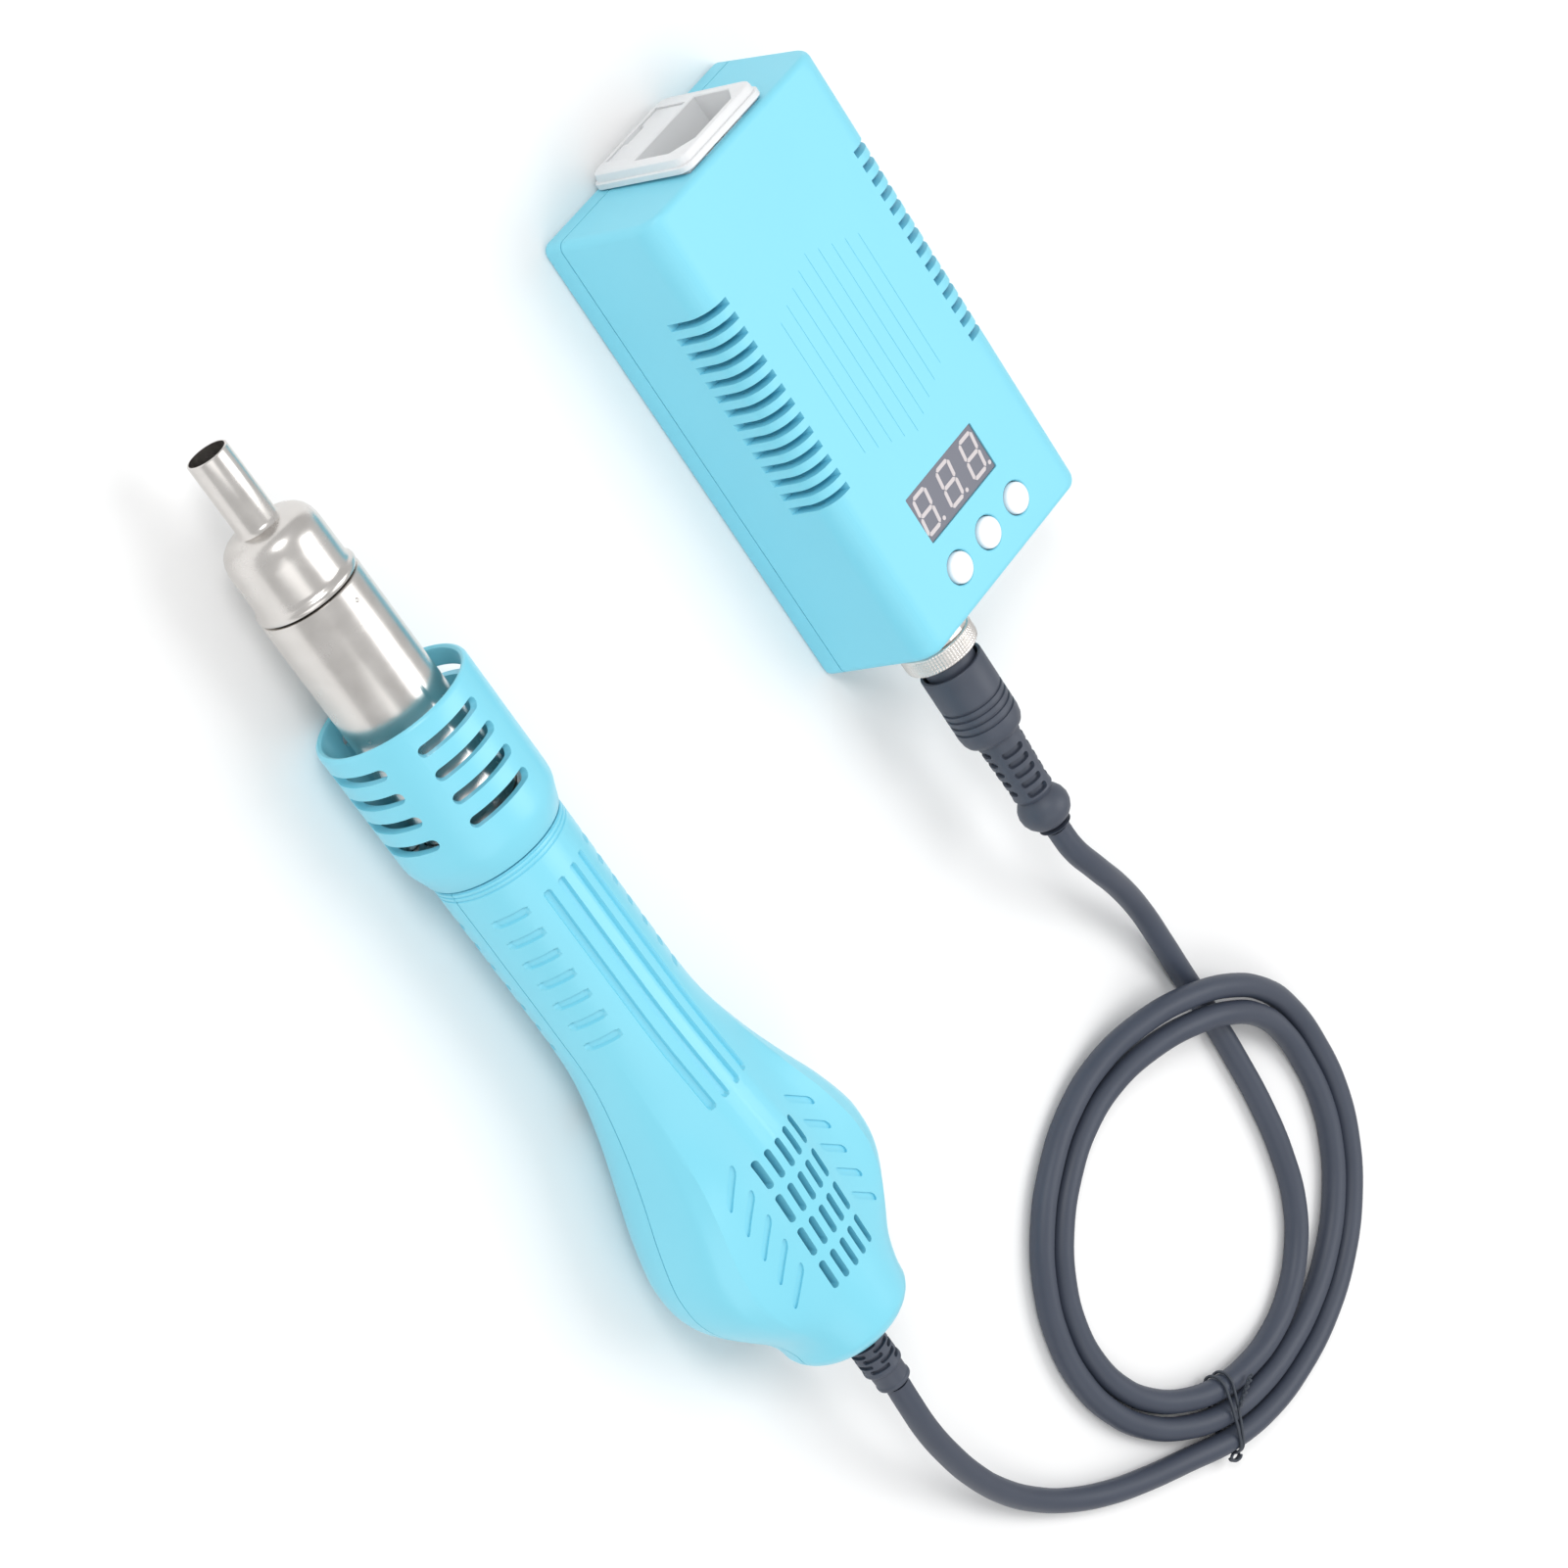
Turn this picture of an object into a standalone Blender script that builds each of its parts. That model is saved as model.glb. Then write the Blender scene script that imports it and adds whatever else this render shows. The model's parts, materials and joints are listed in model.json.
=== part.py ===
"""Hot-air rework gun: a handset with a push-on nozzle, and the controller box that it is wired to.

Sizes below are in millimetres and become metres when a mesh is made. The handset is modelled along its
own X axis, from the nozzle's tip to the cord, and lies on the floor beside the box, which lies on its back.
"""

import math

import bmesh
import bpy
from mathutils import Matrix, Vector

MM = 0.001
GAP = 0.3  # between pieces that touch
RUN = 0.35  # around pieces that turn or slide

# ---- handset, along its own X axis; every radius is about that axis
NOZZLE_R = 4.9
NOZZLE_WALL = 0.45
NOZZLE_TUBE = 18.4
SKIRT_R = 11.4
SKIRT_END = 36.9
SHEET = 0.5
BARREL_R = 12.25
BARREL_END = 97.4
FLANGE_R = 16.6
FLANGE_T = 1.0
GUARD_FRONT = 67.3
GUARD_R = 19.1
GUARD_WALL = 1.8
GUARD_SLOTS = 4
GUARD_SLOT_PITCH = 6.55
GUARD_SLOT_W = 2.8
GUARD_SLOT_ARC = 55.0
GUARD_COLUMNS = (-9.0, -88.5, 171.0, 91.5)
GRIP_FRONT = 107.4
GRIP_R = 16.5
SHELL_WALL = 2.1
NECK_R = 14.6
NECK_BORE = 11.9
BULB_HALF = 32.2
BULB_RISE = 20.6
BULB_DROP = 20.9
FAN_X = 216.4
TAIL_X = 251.3
TAIL_END = 258.4
RELIEF_R = 4.85
RELIEF_OUT = 17.0
CORD_R = 3.1
INTAKE_ROWS = 4
INTAKE_COLUMNS = 5
INTAKE_PITCH_X = 10.45
INTAKE_PITCH_Y = 3.55
INTAKE_SLOT = (7.0, 1.7)
FAN_CASE_R = 24.8
FAN_CASE_WALL = 1.4
FAN_CASE_Z = (-12.0, 9.4)
IMPELLER_R = 21.6
IMPELLER_BLADES = 11
MOTOR_R = 8.4
SHAFT_R = 1.0

# ---- controller box, from its back corner at the inlet end
BOX = (126.5, 72.4, 34.9)
BOX_WALL = 2.2
DRAFT_X = 0.68
DRAFT_Y = 2.16
SEAM_Z = 6.0
LONG_FILLET = 6.2
END_FILLET = 1.6
CORNER_R = 2.2
VENTS = 14
VENT_FIRST = 26.4
VENT_PITCH = 4.05
VENT_W = 1.9
VENT_Z = 21.1
VENT_Y = 8.4
WINDOW = (12.9, 28.4)
WINDOW_AT = (99.5, 34.95)
WINDOW_LIP = 0.9
BUTTON_X = 115.45
BUTTON_Y = 36.3
BUTTON_PITCH = 12.6
BUTTON_R = 3.8
BUTTON_PROUD = 0.9
BUTTON_TRAVEL = 0.6
DISPLAY_BOARD_Z = 25.0
BOARD_T = 1.6
MAIN_BOARD_Z = 8.4
INLET_FLANGE = (31.0, 32.4, 4.3)
INLET_BODY = (27.4, 28.8)
INLET_DEPTH = 18.0
SOCKET_MOUTH = (24.2, 16.6)
SOCKET_CHAMFER = 4.8
SOCKET_RISE = 6.2
DRAWER = (20.0, 9.4)
LINK_AT = (15.4, 22.5)
LINK_R = 7.9
LINK_NUT_R = 9.7
PANEL_NUT_R = 9.5
PLUG_R = 8.15
PLUG_END = 187.7

# ---- how the two stand beside each other
TIP_LEAD = 30.6
AXIS_SPACING = 112.0
YAW = math.radians(0.15)
PITCH = math.asin((BULB_DROP - GUARD_R) / (FAN_X - GUARD_FRONT))

HANDSET_LENGTH = TAIL_END + RELIEF_OUT
TOTAL_WIDTH = BULB_HALF + AXIS_SPACING + BOX[1]
BOX_AT = Vector((TIP_LEAD - HANDSET_LENGTH / 2, AXIS_SPACING + BULB_HALF - TOTAL_WIDTH / 2, 0.0))
HANDSET_AT = Vector((-HANDSET_LENGTH / 2, BULB_HALF - TOTAL_WIDTH / 2, 0.0))

# The cord's route from the plug's end to the handset: box corner frame, millimetres. The two leads are chosen by
# hand, and the coil between them is a spiral on an ellipse that rises where it passes over the first lead.
LEAD_IN = (
    (188.1, 15.4, 22.5), (195.6, 16.1, 22.1), (206.0, 20.5, 19.8), (218.0, 27.0, 15.0), (231.0, 32.5, 10.0),
    (245.0, 36.0, 5.8), (259.0, 38.0, 3.1), (273.5, 38.2, 3.1), (288.0, 37.6, 3.1), (303.0, 36.2, 3.1),
    (317.0, 33.2, 3.1), (329.5, 28.0, 3.1), (339.0, 19.4, 3.1), (345.0, 8.5, 3.1), (347.0, -1.8, 3.1),
)  # fmt: skip
LEAD_OUT = (
    (347.0, -44.5, 3.1), (339.5, -57.5, 3.1), (331.5, -69.5, 3.1), (322.5, -80.0, 3.1), (312.0, -89.0, 4.7),
    (300.5, -96.5, 7.5), (288.0, -102.5, 11.0), (275.0, -107.0, 14.8), (263.0, -110.0, 18.3), (253.0, -111.3, 20.9),
    (245.4, -111.3, 21.7),
)  # fmt: skip
COIL_AT = (305.0, 0.7)
COIL_HALF = (42.3, 50.0)
COIL_GROWTH = (7.0, 6.6)
COIL_START, COIL_END, COIL_STEP = -15, -750, 15
CROSSING, CROSSING_REACH, CROSSING_RISE = 139, 55, 7.2
TIE_ANGLE, TIE_REACH, TIE_LIFT = -30, 30, 1.0


def hump(angle, middle, reach):
    """From 0 to 1 and back as the coil passes the middle angle, in degrees."""
    away = abs((angle - middle + 180) % 360 - 180)
    return math.cos(math.pi / 2 * min(away / reach, 1.0)) ** 2


def coil_point(angle):
    turns = (COIL_START - angle) / 360
    across, along = (half + growth * turns for half, growth in zip(COIL_HALF, COIL_GROWTH))
    crossing = CROSSING_RISE * hump(angle, CROSSING, CROSSING_REACH)
    lift = TIE_LIFT * hump(angle, TIE_ANGLE, TIE_REACH)
    turned = math.radians(angle)
    return COIL_AT[0] + across * math.cos(turned), COIL_AT[1] + along * math.sin(turned), CORD_R + crossing + lift


COIL = tuple(coil_point(angle) for angle in range(COIL_START, COIL_END - 1, -COIL_STEP))
CORD_ROUTE = (*LEAD_IN, *COIL, *LEAD_OUT)
# The tie holds the coil's first turn, its second and the second lead side by side.
TIE_AT = (*coil_point(TIE_ANGLE - 360)[:2], 0.0)
TIE_BEFORE, TIE_AFTER = (coil_point(TIE_ANGLE - 360 + step) for step in (COIL_STEP, -COIL_STEP))
TIE_TURN = math.atan2(TIE_AFTER[1] - TIE_BEFORE[1], TIE_AFTER[0] - TIE_BEFORE[0])
TIE_ROW = math.dist(coil_point(TIE_ANGLE), coil_point(TIE_ANGLE - 360))
TIE_STRANDS = ((-TIE_ROW, CORD_R + TIE_LIFT), (TIE_ROW, CORD_R + TIE_LIFT))
TIE_ROOM = 0.5
TIE_BAND = 0.6
TIE_WIDTH = 5.0


def clear_scene():
    for obj in list(bpy.data.objects):
        bpy.data.objects.remove(obj)


def material(name, color, roughness, metallic=0.0):
    """A Principled material, made once for each name."""
    found = bpy.data.materials.get(name)
    if found:
        return found
    made = bpy.data.materials.new(name)
    made.use_nodes = True
    shader = made.node_tree.nodes["Principled BSDF"]
    shader.inputs["Base Color"].default_value = (*color, 1.0)
    shader.inputs["Roughness"].default_value = roughness
    shader.inputs["Metallic"].default_value = metallic
    made.diffuse_color = (*color, 1.0)
    return made


def empty(name, location, rotation=(0.0, 0.0, 0.0), parent=None):
    made = bpy.data.objects.new(name, None)
    bpy.context.scene.collection.objects.link(made)
    made.parent = parent
    made.location = Vector(location) * MM
    made.rotation_euler = rotation
    return made


def piece(name, bm, look, parent, at=(0.0, 0.0, 0.0), turn=(0.0, 0.0, 0.0)):
    """Turns a bmesh in millimetres into a named object, its faces pointing out."""
    bmesh.ops.recalc_face_normals(bm, faces=bm.faces)
    bmesh.ops.scale(bm, vec=(MM, MM, MM), verts=bm.verts)
    mesh = bpy.data.meshes.new(name)
    bm.to_mesh(mesh)
    bm.free()
    mesh.shade_smooth()
    mesh.set_sharp_from_angle(angle=math.radians(32))
    obj = bpy.data.objects.new(name, mesh)
    bpy.context.scene.collection.objects.link(obj)
    obj.parent = parent
    obj.location = Vector(at) * MM
    obj.rotation_euler = turn
    if look:
        mesh.materials.append(look)
    return obj


def boolean(target, bm, operation, parent, at=(0.0, 0.0, 0.0), turn=(0.0, 0.0, 0.0)):
    """Cuts a hidden helper from the target, or joins it on."""
    helper = piece(f"{target.name}_{operation.lower()}_{len(target.modifiers)}", bm, None, parent, at, turn)
    helper.hide_render = True
    helper.display_type = "WIRE"
    modifier = target.modifiers.new(operation.title(), "BOOLEAN")
    modifier.operation = operation
    modifier.object = helper
    return modifier


def loft(rings, ends=True):
    """Skins closed rings of equal length, and caps both ends."""
    bm = bmesh.new()
    add_loft(bm, rings, ends)
    return bm


def add_loft(bm, rings, ends=True):
    rows = [[bm.verts.new(p) for p in ring] for ring in rings]
    count = len(rows[0])
    for low, high in zip(rows, rows[1:]):
        for i in range(count):
            j = (i + 1) % count
            bm.faces.new((low[i], low[j], high[j], high[i]))
    if ends:
        bm.faces.new(rows[0])
        bm.faces.new(list(reversed(rows[-1])))


def turned(profile, sides=32, closed=False):
    """Spins (x, radius) points about X. A closed profile is a tube's section; an open one ends on the axis."""
    bm = bmesh.new()
    add_turned(bm, profile, sides, closed)
    return bm


def add_turned(bm, profile, sides=32, closed=False, matrix=None):
    matrix = matrix or Matrix.Identity(4)
    rings = []
    for x, radius in profile:
        if radius <= 0:
            rings.append([bm.verts.new(matrix @ Vector((x, 0.0, 0.0)))])
            continue
        ring = []
        for k in range(sides):
            angle = math.tau * (k + 0.5) / sides
            place = Vector((x, radius * math.cos(angle), radius * math.sin(angle)))
            ring.append(bm.verts.new(matrix @ place))
        rings.append(ring)
    pairs = list(zip(rings, rings[1:]))
    if closed:
        pairs.append((rings[-1], rings[0]))
    for low, high in pairs:
        for k in range(sides):
            n = (k + 1) % sides
            corners = [low[k % len(low)], low[n % len(low)], high[n % len(high)], high[k % len(high)]]
            kept = list(dict.fromkeys(corners))
            if len(kept) > 2:
                bm.faces.new(kept)


def tube(x0, x1, outer, inner, sides=32):
    return turned([(x0, inner), (x0, outer), (x1, outer), (x1, inner)], sides, closed=True)


def rod(x0, x1, radius, sides=16):
    return turned([(x0, 0.0), (x0, radius), (x1, radius), (x1, 0.0)], sides)


def add_rod(bm, start, end, radius, sides=16):
    """A plain cylinder between two points."""
    start, end = Vector(start), Vector(end)
    turn = Vector((1, 0, 0)).rotation_difference(end - start).to_matrix().to_4x4()
    length = (end - start).length
    profile = [(0.0, 0.0), (0.0, radius), (length, radius), (length, 0.0)]
    add_turned(bm, profile, sides, matrix=Matrix.Translation(start) @ turn)


def add_box(bm, low, high):
    place = Matrix.Translation((Vector(low) + Vector(high)) / 2)
    size = Vector(high) - Vector(low)
    bmesh.ops.create_cube(bm, size=1.0, matrix=place @ Matrix.Diagonal((*size, 1.0)))


def block(low, high, bevel=0.0):
    bm = bmesh.new()
    add_box(bm, low, high)
    if bevel:
        bmesh.ops.bevel(bm, geom=bm.edges[:], offset=bevel, segments=2, affect="EDGES", profile=0.5)
    return bm


def rounded_rect(low, high, radius, z, steps=3):
    """Points of a rectangle with round corners, at height z."""
    corners = ((high[0], high[1], 0), (low[0], high[1], 90), (low[0], low[1], 180), (high[0], low[1], 270))
    points = []
    for x, y, start in corners:
        cx = x - math.copysign(radius, x - (low[0] + high[0]) / 2)
        cy = y - math.copysign(radius, y - (low[1] + high[1]) / 2)
        for k in range(steps + 1):
            angle = math.radians(start + 90 * k / steps)
            points.append(Vector((cx + radius * math.cos(angle), cy + radius * math.sin(angle), z)))
    return points


def smooth(x, stops):
    """A smooth curve through (x, value) stops, flat outside them."""
    if x <= stops[0][0]:
        return stops[0][1]
    for k in range(len(stops) - 1):
        (x0, y0), (x1, y1) = stops[k], stops[k + 1]
        if x <= x1:
            before = stops[max(k - 1, 0)]
            after = stops[min(k + 2, len(stops) - 1)]
            m0 = (y1 - before[1]) / (x1 - before[0]) * (x1 - x0)
            m1 = (after[1] - y0) / (after[0] - x0) * (x1 - x0)
            t = (x - x0) / (x1 - x0)
            rise = (2 * t**3 - 3 * t**2 + 1) * y0 + (t**3 - 2 * t**2 + t) * m0
            return rise + (3 * t**2 - 2 * t**3) * y1 + (t**3 - t**2) * m1
    return stops[-1][1]


# ---- looks
TEAL = material("teal_plastic", (0.235, 0.68, 0.85), 0.42)
WHITE = material("white_plastic", (0.86, 0.87, 0.87), 0.4)
STEEL = material("brushed_steel", (0.62, 0.6, 0.58), 0.28, 1.0)
NICKEL = material("nickel_plate", (0.7, 0.68, 0.66), 0.25, 1.0)
RUBBER = material("black_rubber", (0.055, 0.065, 0.09), 0.55)
DARK = material("dark_plastic", (0.03, 0.03, 0.035), 0.5)
CERAMIC = material("ceramic", (0.82, 0.79, 0.72), 0.7)
MICA = material("mica", (0.55, 0.48, 0.36), 0.45)
WIRE = material("resistance_wire", (0.34, 0.31, 0.29), 0.4, 1.0)
BOARD = material("circuit_board", (0.03, 0.16, 0.07), 0.45)
ALUMINIUM = material("aluminium", (0.75, 0.75, 0.76), 0.35, 1.0)
GLASS = material("smoked_face", (0.11, 0.12, 0.14), 0.25)
COPPER = material("copper", (0.72, 0.35, 0.2), 0.35, 1.0)
SCREW = material("zinc_screw", (0.55, 0.55, 0.56), 0.35, 1.0)


# ---- handset -------------------------------------------------------------------------------------

HALF_WIDTH = (
    (107.4, GRIP_R), (150.0, GRIP_R), (163.6, 16.9), (173.3, 18.7), (183.0, 21.3), (192.9, 24.7),
    (202.8, 28.6), (212.8, BULB_HALF - 0.5), (217.9, BULB_HALF), (222.9, BULB_HALF - 0.3),
    (228.0, 30.3), (233.0, 27.4), (238.1, 23.6), (243.3, 19.6), (248.5, 17.1), (TAIL_X, GRIP_R),
)  # fmt: skip
TOP_HEIGHT = (
    (107.4, GRIP_R), (148.0, GRIP_R), (163.6, 17.1), (181.3, 18.9), (193.0, 20.3), (200.6, BULB_RISE),
    (211.0, 19.6), (221.6, 18.4), (232.0, 17.4), (243.0, 16.8), (TAIL_X, GRIP_R),
)  # fmt: skip
DROP = (
    (107.4, GRIP_R), (150.0, GRIP_R), (163.6, 16.9), (181.3, 18.8), (197.0, 20.5), (FAN_X - 5, BULB_DROP),
    (FAN_X + 4, BULB_DROP), (228.0, 20.0), (238.0, 18.2), (248.0, 16.8), (TAIL_X, GRIP_R),
)  # fmt: skip
BULGE = ((150.0, 0.0), (172.0, 0.35), (196.0, 1.0), (225.0, 1.0), (247.0, 0.0))
# Upper half of the bulb from its ridge to its side, as shares of its half width and height.
BULB_TOP = ((0.0, 1.0), (0.2, 0.95), (0.365, 0.822), (0.52, 0.745), (0.755, 0.69), (0.93, 0.4), (1.0, 0.0))
QUARTER = len(BULB_TOP) - 1


def handle_half(x, up, inset):
    """Half of the handle's section at x, from side to side over the top or under the belly."""
    tail = 1.0
    if x > TAIL_X:
        tail = math.sqrt(max(0.0, 1 - ((x - TAIL_X) / (TAIL_END - TAIL_X + 0.8)) ** 2))
    wide = smooth(x, HALF_WIDTH) * tail - inset
    high = smooth(x, TOP_HEIGHT if up else DROP) * tail - inset
    bulge = smooth(x, BULGE)
    points = []
    for k in range(-QUARTER, QUARTER + 1):
        angle = math.radians(90 * abs(k) / QUARTER)
        round_y, round_z = math.sin(angle), math.cos(angle)
        if up:
            full_y, full_z = BULB_TOP[abs(k)]
        else:
            full_y, full_z = round_y**0.82, max(round_z, 0.0) ** 0.82
        y = wide * (round_y + bulge * (full_y - round_y))
        z = high * (round_z + bulge * (full_z - round_z))
        points.append((math.copysign(y, k) if k else 0.0, z if up else -z))
    return points


def round_half(radius, up):
    """Half a circle with as many points as handle_half."""
    points = []
    for k in range(-QUARTER, QUARTER + 1):
        angle = math.radians(90 * k / QUARTER)
        z = radius * math.cos(angle)
        points.append((radius * math.sin(angle), z if up else -z))
    return points


def handle_shell(name, up, parent):
    """One half of the clamshell handle, with the lip and neck that hold the guard and the barrel flange."""
    lip = GRIP_FRONT - 8.9
    neck = ((lip, FLANGE_R + 0.2), (lip + 2.0, FLANGE_R + 0.2), (lip + 2.1, NECK_R), (GRIP_FRONT + GAP, NECK_R))
    rows = [(x, round_half(radius, up), x, round_half(NECK_BORE, up)) for x, radius in neck]
    shoulder = GRIP_FRONT + GAP + 0.1
    rows.append((shoulder, round_half(GRIP_R - 0.3, up), shoulder, round_half(NECK_BORE, up)))
    stations = [109.5, 130.0, 150.0, 163.0, 173.0, 183.0, 191.0, 199.0, 207.0, 215.0, 222.0, 228.0, 233.0]
    stations += [238.0, 243.0, 248.0, TAIL_X]
    for x in stations:
        rows.append((x, handle_half(x, up, 0.0), x, handle_half(x, up, SHELL_WALL)))
    reach = TAIL_END - TAIL_X
    for share in (0.4, 0.68, 0.87, 1.0):
        x = TAIL_X + reach * share
        inner = TAIL_X + (reach - SHELL_WALL) * share
        hole = round_half(RELIEF_R + GAP, up)
        inside = handle_half(inner, up, SHELL_WALL) if share < 0.8 else hole
        outside = handle_half(x, up, 0.0) if share < 1.0 else round_half(RELIEF_R + 1.6, up)
        rows.append((x, outside, inner if share < 1.0 else x, inside))
    lift = GAP / 2 if up else -GAP / 2
    rings = []
    for outer_x, outer, inner_x, inner in rows:
        ring = [Vector((outer_x, y, z + lift)) for y, z in outer]
        ring += [Vector((inner_x, y, z + lift)) for y, z in reversed(inner)]
        rings.append(ring)
    return piece(name, loft(rings), TEAL, parent)


BOSSES = ((178.0, 12.4), (178.0, -12.4), (246.0, 9.6), (246.0, -9.6))
BOSS_R = 2.8
PILOT_R = 0.95
SCREW_HEAD_R = 2.0


def boss_depth(x, y, up):
    """How far from the parting plane the shell's inner face is above or below a boss."""
    half = handle_half(x, up, SHELL_WALL)
    for (y0, z0), (y1, z1) in zip(half, half[1:]):
        if y0 <= y <= y1:
            return abs(z0 + (z1 - z0) * (y - y0) / (y1 - y0))
    return abs(half[QUARTER][1])


def add_handle_details(top, bottom, parent):
    """Bosses and screw holes, the intake slots, and the seats of the nozzle's flange screws."""
    above, below = bmesh.new(), bmesh.new()
    for x, y in BOSSES:
        add_rod(above, (x, y, GAP / 2), (x, y, boss_depth(x, y, True) + 0.9), BOSS_R, 12)
        add_rod(below, (x, y, -GAP / 2), (x, y, -boss_depth(x, y, False) - 0.9), BOSS_R, 12)
    boolean(top, above, "UNION", parent)
    boolean(bottom, below, "UNION", parent)
    holes_above, holes_below = bmesh.new(), bmesh.new()
    for x, y in BOSSES:
        add_rod(holes_above, (x, y, -2.0), (x, y, boss_depth(x, y, True) - 1.5), PILOT_R, 10)
        profile = [(0.0, 0.0), (0.0, PILOT_R), (SCREW_HEAD_Z, PILOT_R), (SCREW_HEAD_Z, SCREW_HEAD_R + GAP)]
        profile += [(34.0, SCREW_HEAD_R + GAP), (34.0, 0.0)]
        down = Matrix.Translation((x, y, 4.0)) @ Matrix.Rotation(math.radians(90), 4, "Y")
        add_turned(holes_below, profile, 10, matrix=down)
    for slot_x, slot_y in intake_places():
        long, wide = INTAKE_SLOT
        ends = ((slot_x - long / 2 + wide / 2), (slot_x + long / 2 - wide / 2))
        rings = []
        for z in (10.5, 26.0):
            ring = []
            for x, start in ((ends[1], -90), (ends[0], 90)):
                for k in range(4):
                    angle = math.radians(start + 60 * k)
                    ring.append(Vector((x + wide / 2 * math.cos(angle), slot_y + wide / 2 * math.sin(angle), z)))
            rings.append(ring)
        add_loft(holes_above, rings)
    for holes, angles in ((holes_above, (90,)), (holes_below, (210, 330))):
        for angle in angles:
            y, z = flange_screw_place(angle)
            add_rod(holes, (GRIP_FRONT - 12, y, z), (GRIP_FRONT - 7.6, y, z), PILOT_R, 8)
    boolean(top, holes_above, "DIFFERENCE", parent)
    boolean(bottom, holes_below, "DIFFERENCE", parent)


SCREW_HEAD_Z = 14.0  # along the boss, from 4 mm above the parting plane to the screw head's seat


def intake_places():
    for row in range(INTAKE_ROWS):
        for column in range(INTAKE_COLUMNS):
            x = FAN_X + INTAKE_PITCH_X * (row - (INTAKE_ROWS - 1) / 2)
            yield x, INTAKE_PITCH_Y * (column - (INTAKE_COLUMNS - 1) / 2)


def flange_screw_place(angle):
    radius = 14.6
    return radius * math.cos(math.radians(angle)), radius * math.sin(math.radians(angle))


def build_nozzle(parent):
    inner = SKIRT_R - SHEET
    out = [(0.0, NOZZLE_R), (NOZZLE_TUBE, NOZZLE_R), (NOZZLE_TUBE + 0.9, 5.9), (19.9, 7.2), (21.0, 9.3)]
    out += [(22.8, 10.8), (25.2, SKIRT_R - 0.15), (33.4, SKIRT_R), (35.0, SKIRT_R + 0.75), (SKIRT_END, SKIRT_R + 0.9)]
    back = [(SKIRT_END, inner + 0.15), (25.2, inner), (23.4, 10.2), (21.8, 8.8), (20.6, 6.8)]
    back += [(NOZZLE_TUBE + 1.6, NOZZLE_R - 0.2), (NOZZLE_TUBE, NOZZLE_R - NOZZLE_WALL), (0.0, NOZZLE_R - NOZZLE_WALL)]
    return piece("nozzle", turned(out + back, 28, closed=True), STEEL, parent)


def build_barrel(parent):
    """Drawn steel tube with a narrower spigot that the nozzle slides on."""
    spigot = SKIRT_R - SHEET - RUN
    step = SKIRT_END + RUN
    out = [(26.5, spigot - 0.4), (27.5, spigot), (step, spigot), (step + 0.2, BARREL_R), (BARREL_END, BARREL_R)]
    back = [(BARREL_END, BARREL_R - SHEET), (step + 0.8, BARREL_R - SHEET), (step - 0.4, spigot - SHEET)]
    back += [(27.5, spigot - SHEET), (26.5, spigot - 0.4 - SHEET)]
    return piece("barrel", turned(out + back, 28, closed=True), STEEL, parent)


def build_barrel_flange(parent):
    """Ring at the barrel's foot, screwed to the handle's neck."""
    start = GRIP_FRONT - 8.9 - GAP - FLANGE_T
    ring = turned(
        [(start, BARREL_R + GAP), (start, FLANGE_R), (start + FLANGE_T, FLANGE_R), (start + FLANGE_T, BARREL_R - 0.9),
         (BARREL_END + GAP, BARREL_R - 0.9), (BARREL_END + GAP, BARREL_R + GAP)], 28, closed=True)  # fmt: skip
    flange = piece("barrel_flange", ring, STEEL, parent)
    holes = bmesh.new()
    for angle in (90, 210, 330):
        y, z = flange_screw_place(angle)
        add_rod(holes, (start - 2, y, z), (start + FLANGE_T + 1, y, z), 1.15, 10)
    boolean(flange, holes, "DIFFERENCE", parent)
    for number, angle in enumerate((90, 210, 330), 1):
        y, z = flange_screw_place(angle)
        head = start - GAP / 2
        profile = [(head - 1.1, 0.0), (head - 1.1, 1.0), (head - 0.6, 1.5), (head, 1.5), (head, 0.75)]
        profile += [(head + 2.3, 0.75), (head + 2.5, 0.0)]
        piece(f"flange_screw_{number}", turned(profile, 10), SCREW, parent, (0.0, y, z))


def build_guard(parent):
    """Slotted plastic nose guard, held by its rear collar between the handle's lip and shoulder."""
    inner = GUARD_R - GUARD_WALL
    collar = NECK_R + GAP
    rear = GRIP_FRONT - GAP
    out = [(GUARD_FRONT, GUARD_R - 1.3), (GUARD_FRONT + 0.25, GUARD_R - 0.5), (GUARD_FRONT + 1.0, GUARD_R)]
    out += [(GUARD_FRONT + 33.6, GUARD_R - 0.15), (GUARD_FRONT + 35.2, GUARD_R - 0.6), (rear, GRIP_R + 0.4)]
    back = [(rear, collar), (rear - 6.2, collar), (rear - 6.4, inner - 0.1), (GUARD_FRONT + 0.8, inner), (GUARD_FRONT, inner + 0.3)]
    guard = piece("nose_guard", turned(out + back, 36, closed=True), TEAL, parent)
    slots = bmesh.new()
    for column in GUARD_COLUMNS:
        for row in range(GUARD_SLOTS):
            middle = GUARD_FRONT + 6.1 + GUARD_SLOT_PITCH * row
            arc_slot(slots, middle, column, inner - 2.5, GUARD_R + 2.0)
    boolean(guard, slots, "DIFFERENCE", parent)


def arc_slot(bm, middle, column, inner, outer):
    """A cutter that follows the guard's wall; angles run from the top towards +Y."""
    steps = 4
    rings = []
    for k in range(steps + 1):
        angle = math.radians(column + GUARD_SLOT_ARC * (k / steps - 0.5))
        y, z = math.sin(angle), math.cos(angle)
        half = GUARD_SLOT_W / 2
        corners = ((middle - half, inner), (middle + half, inner), (middle + half, outer), (middle - half, outer))
        rings.append([Vector((x, radius * y, radius * z)) for x, radius in corners])
    add_loft(bm, rings)


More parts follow.
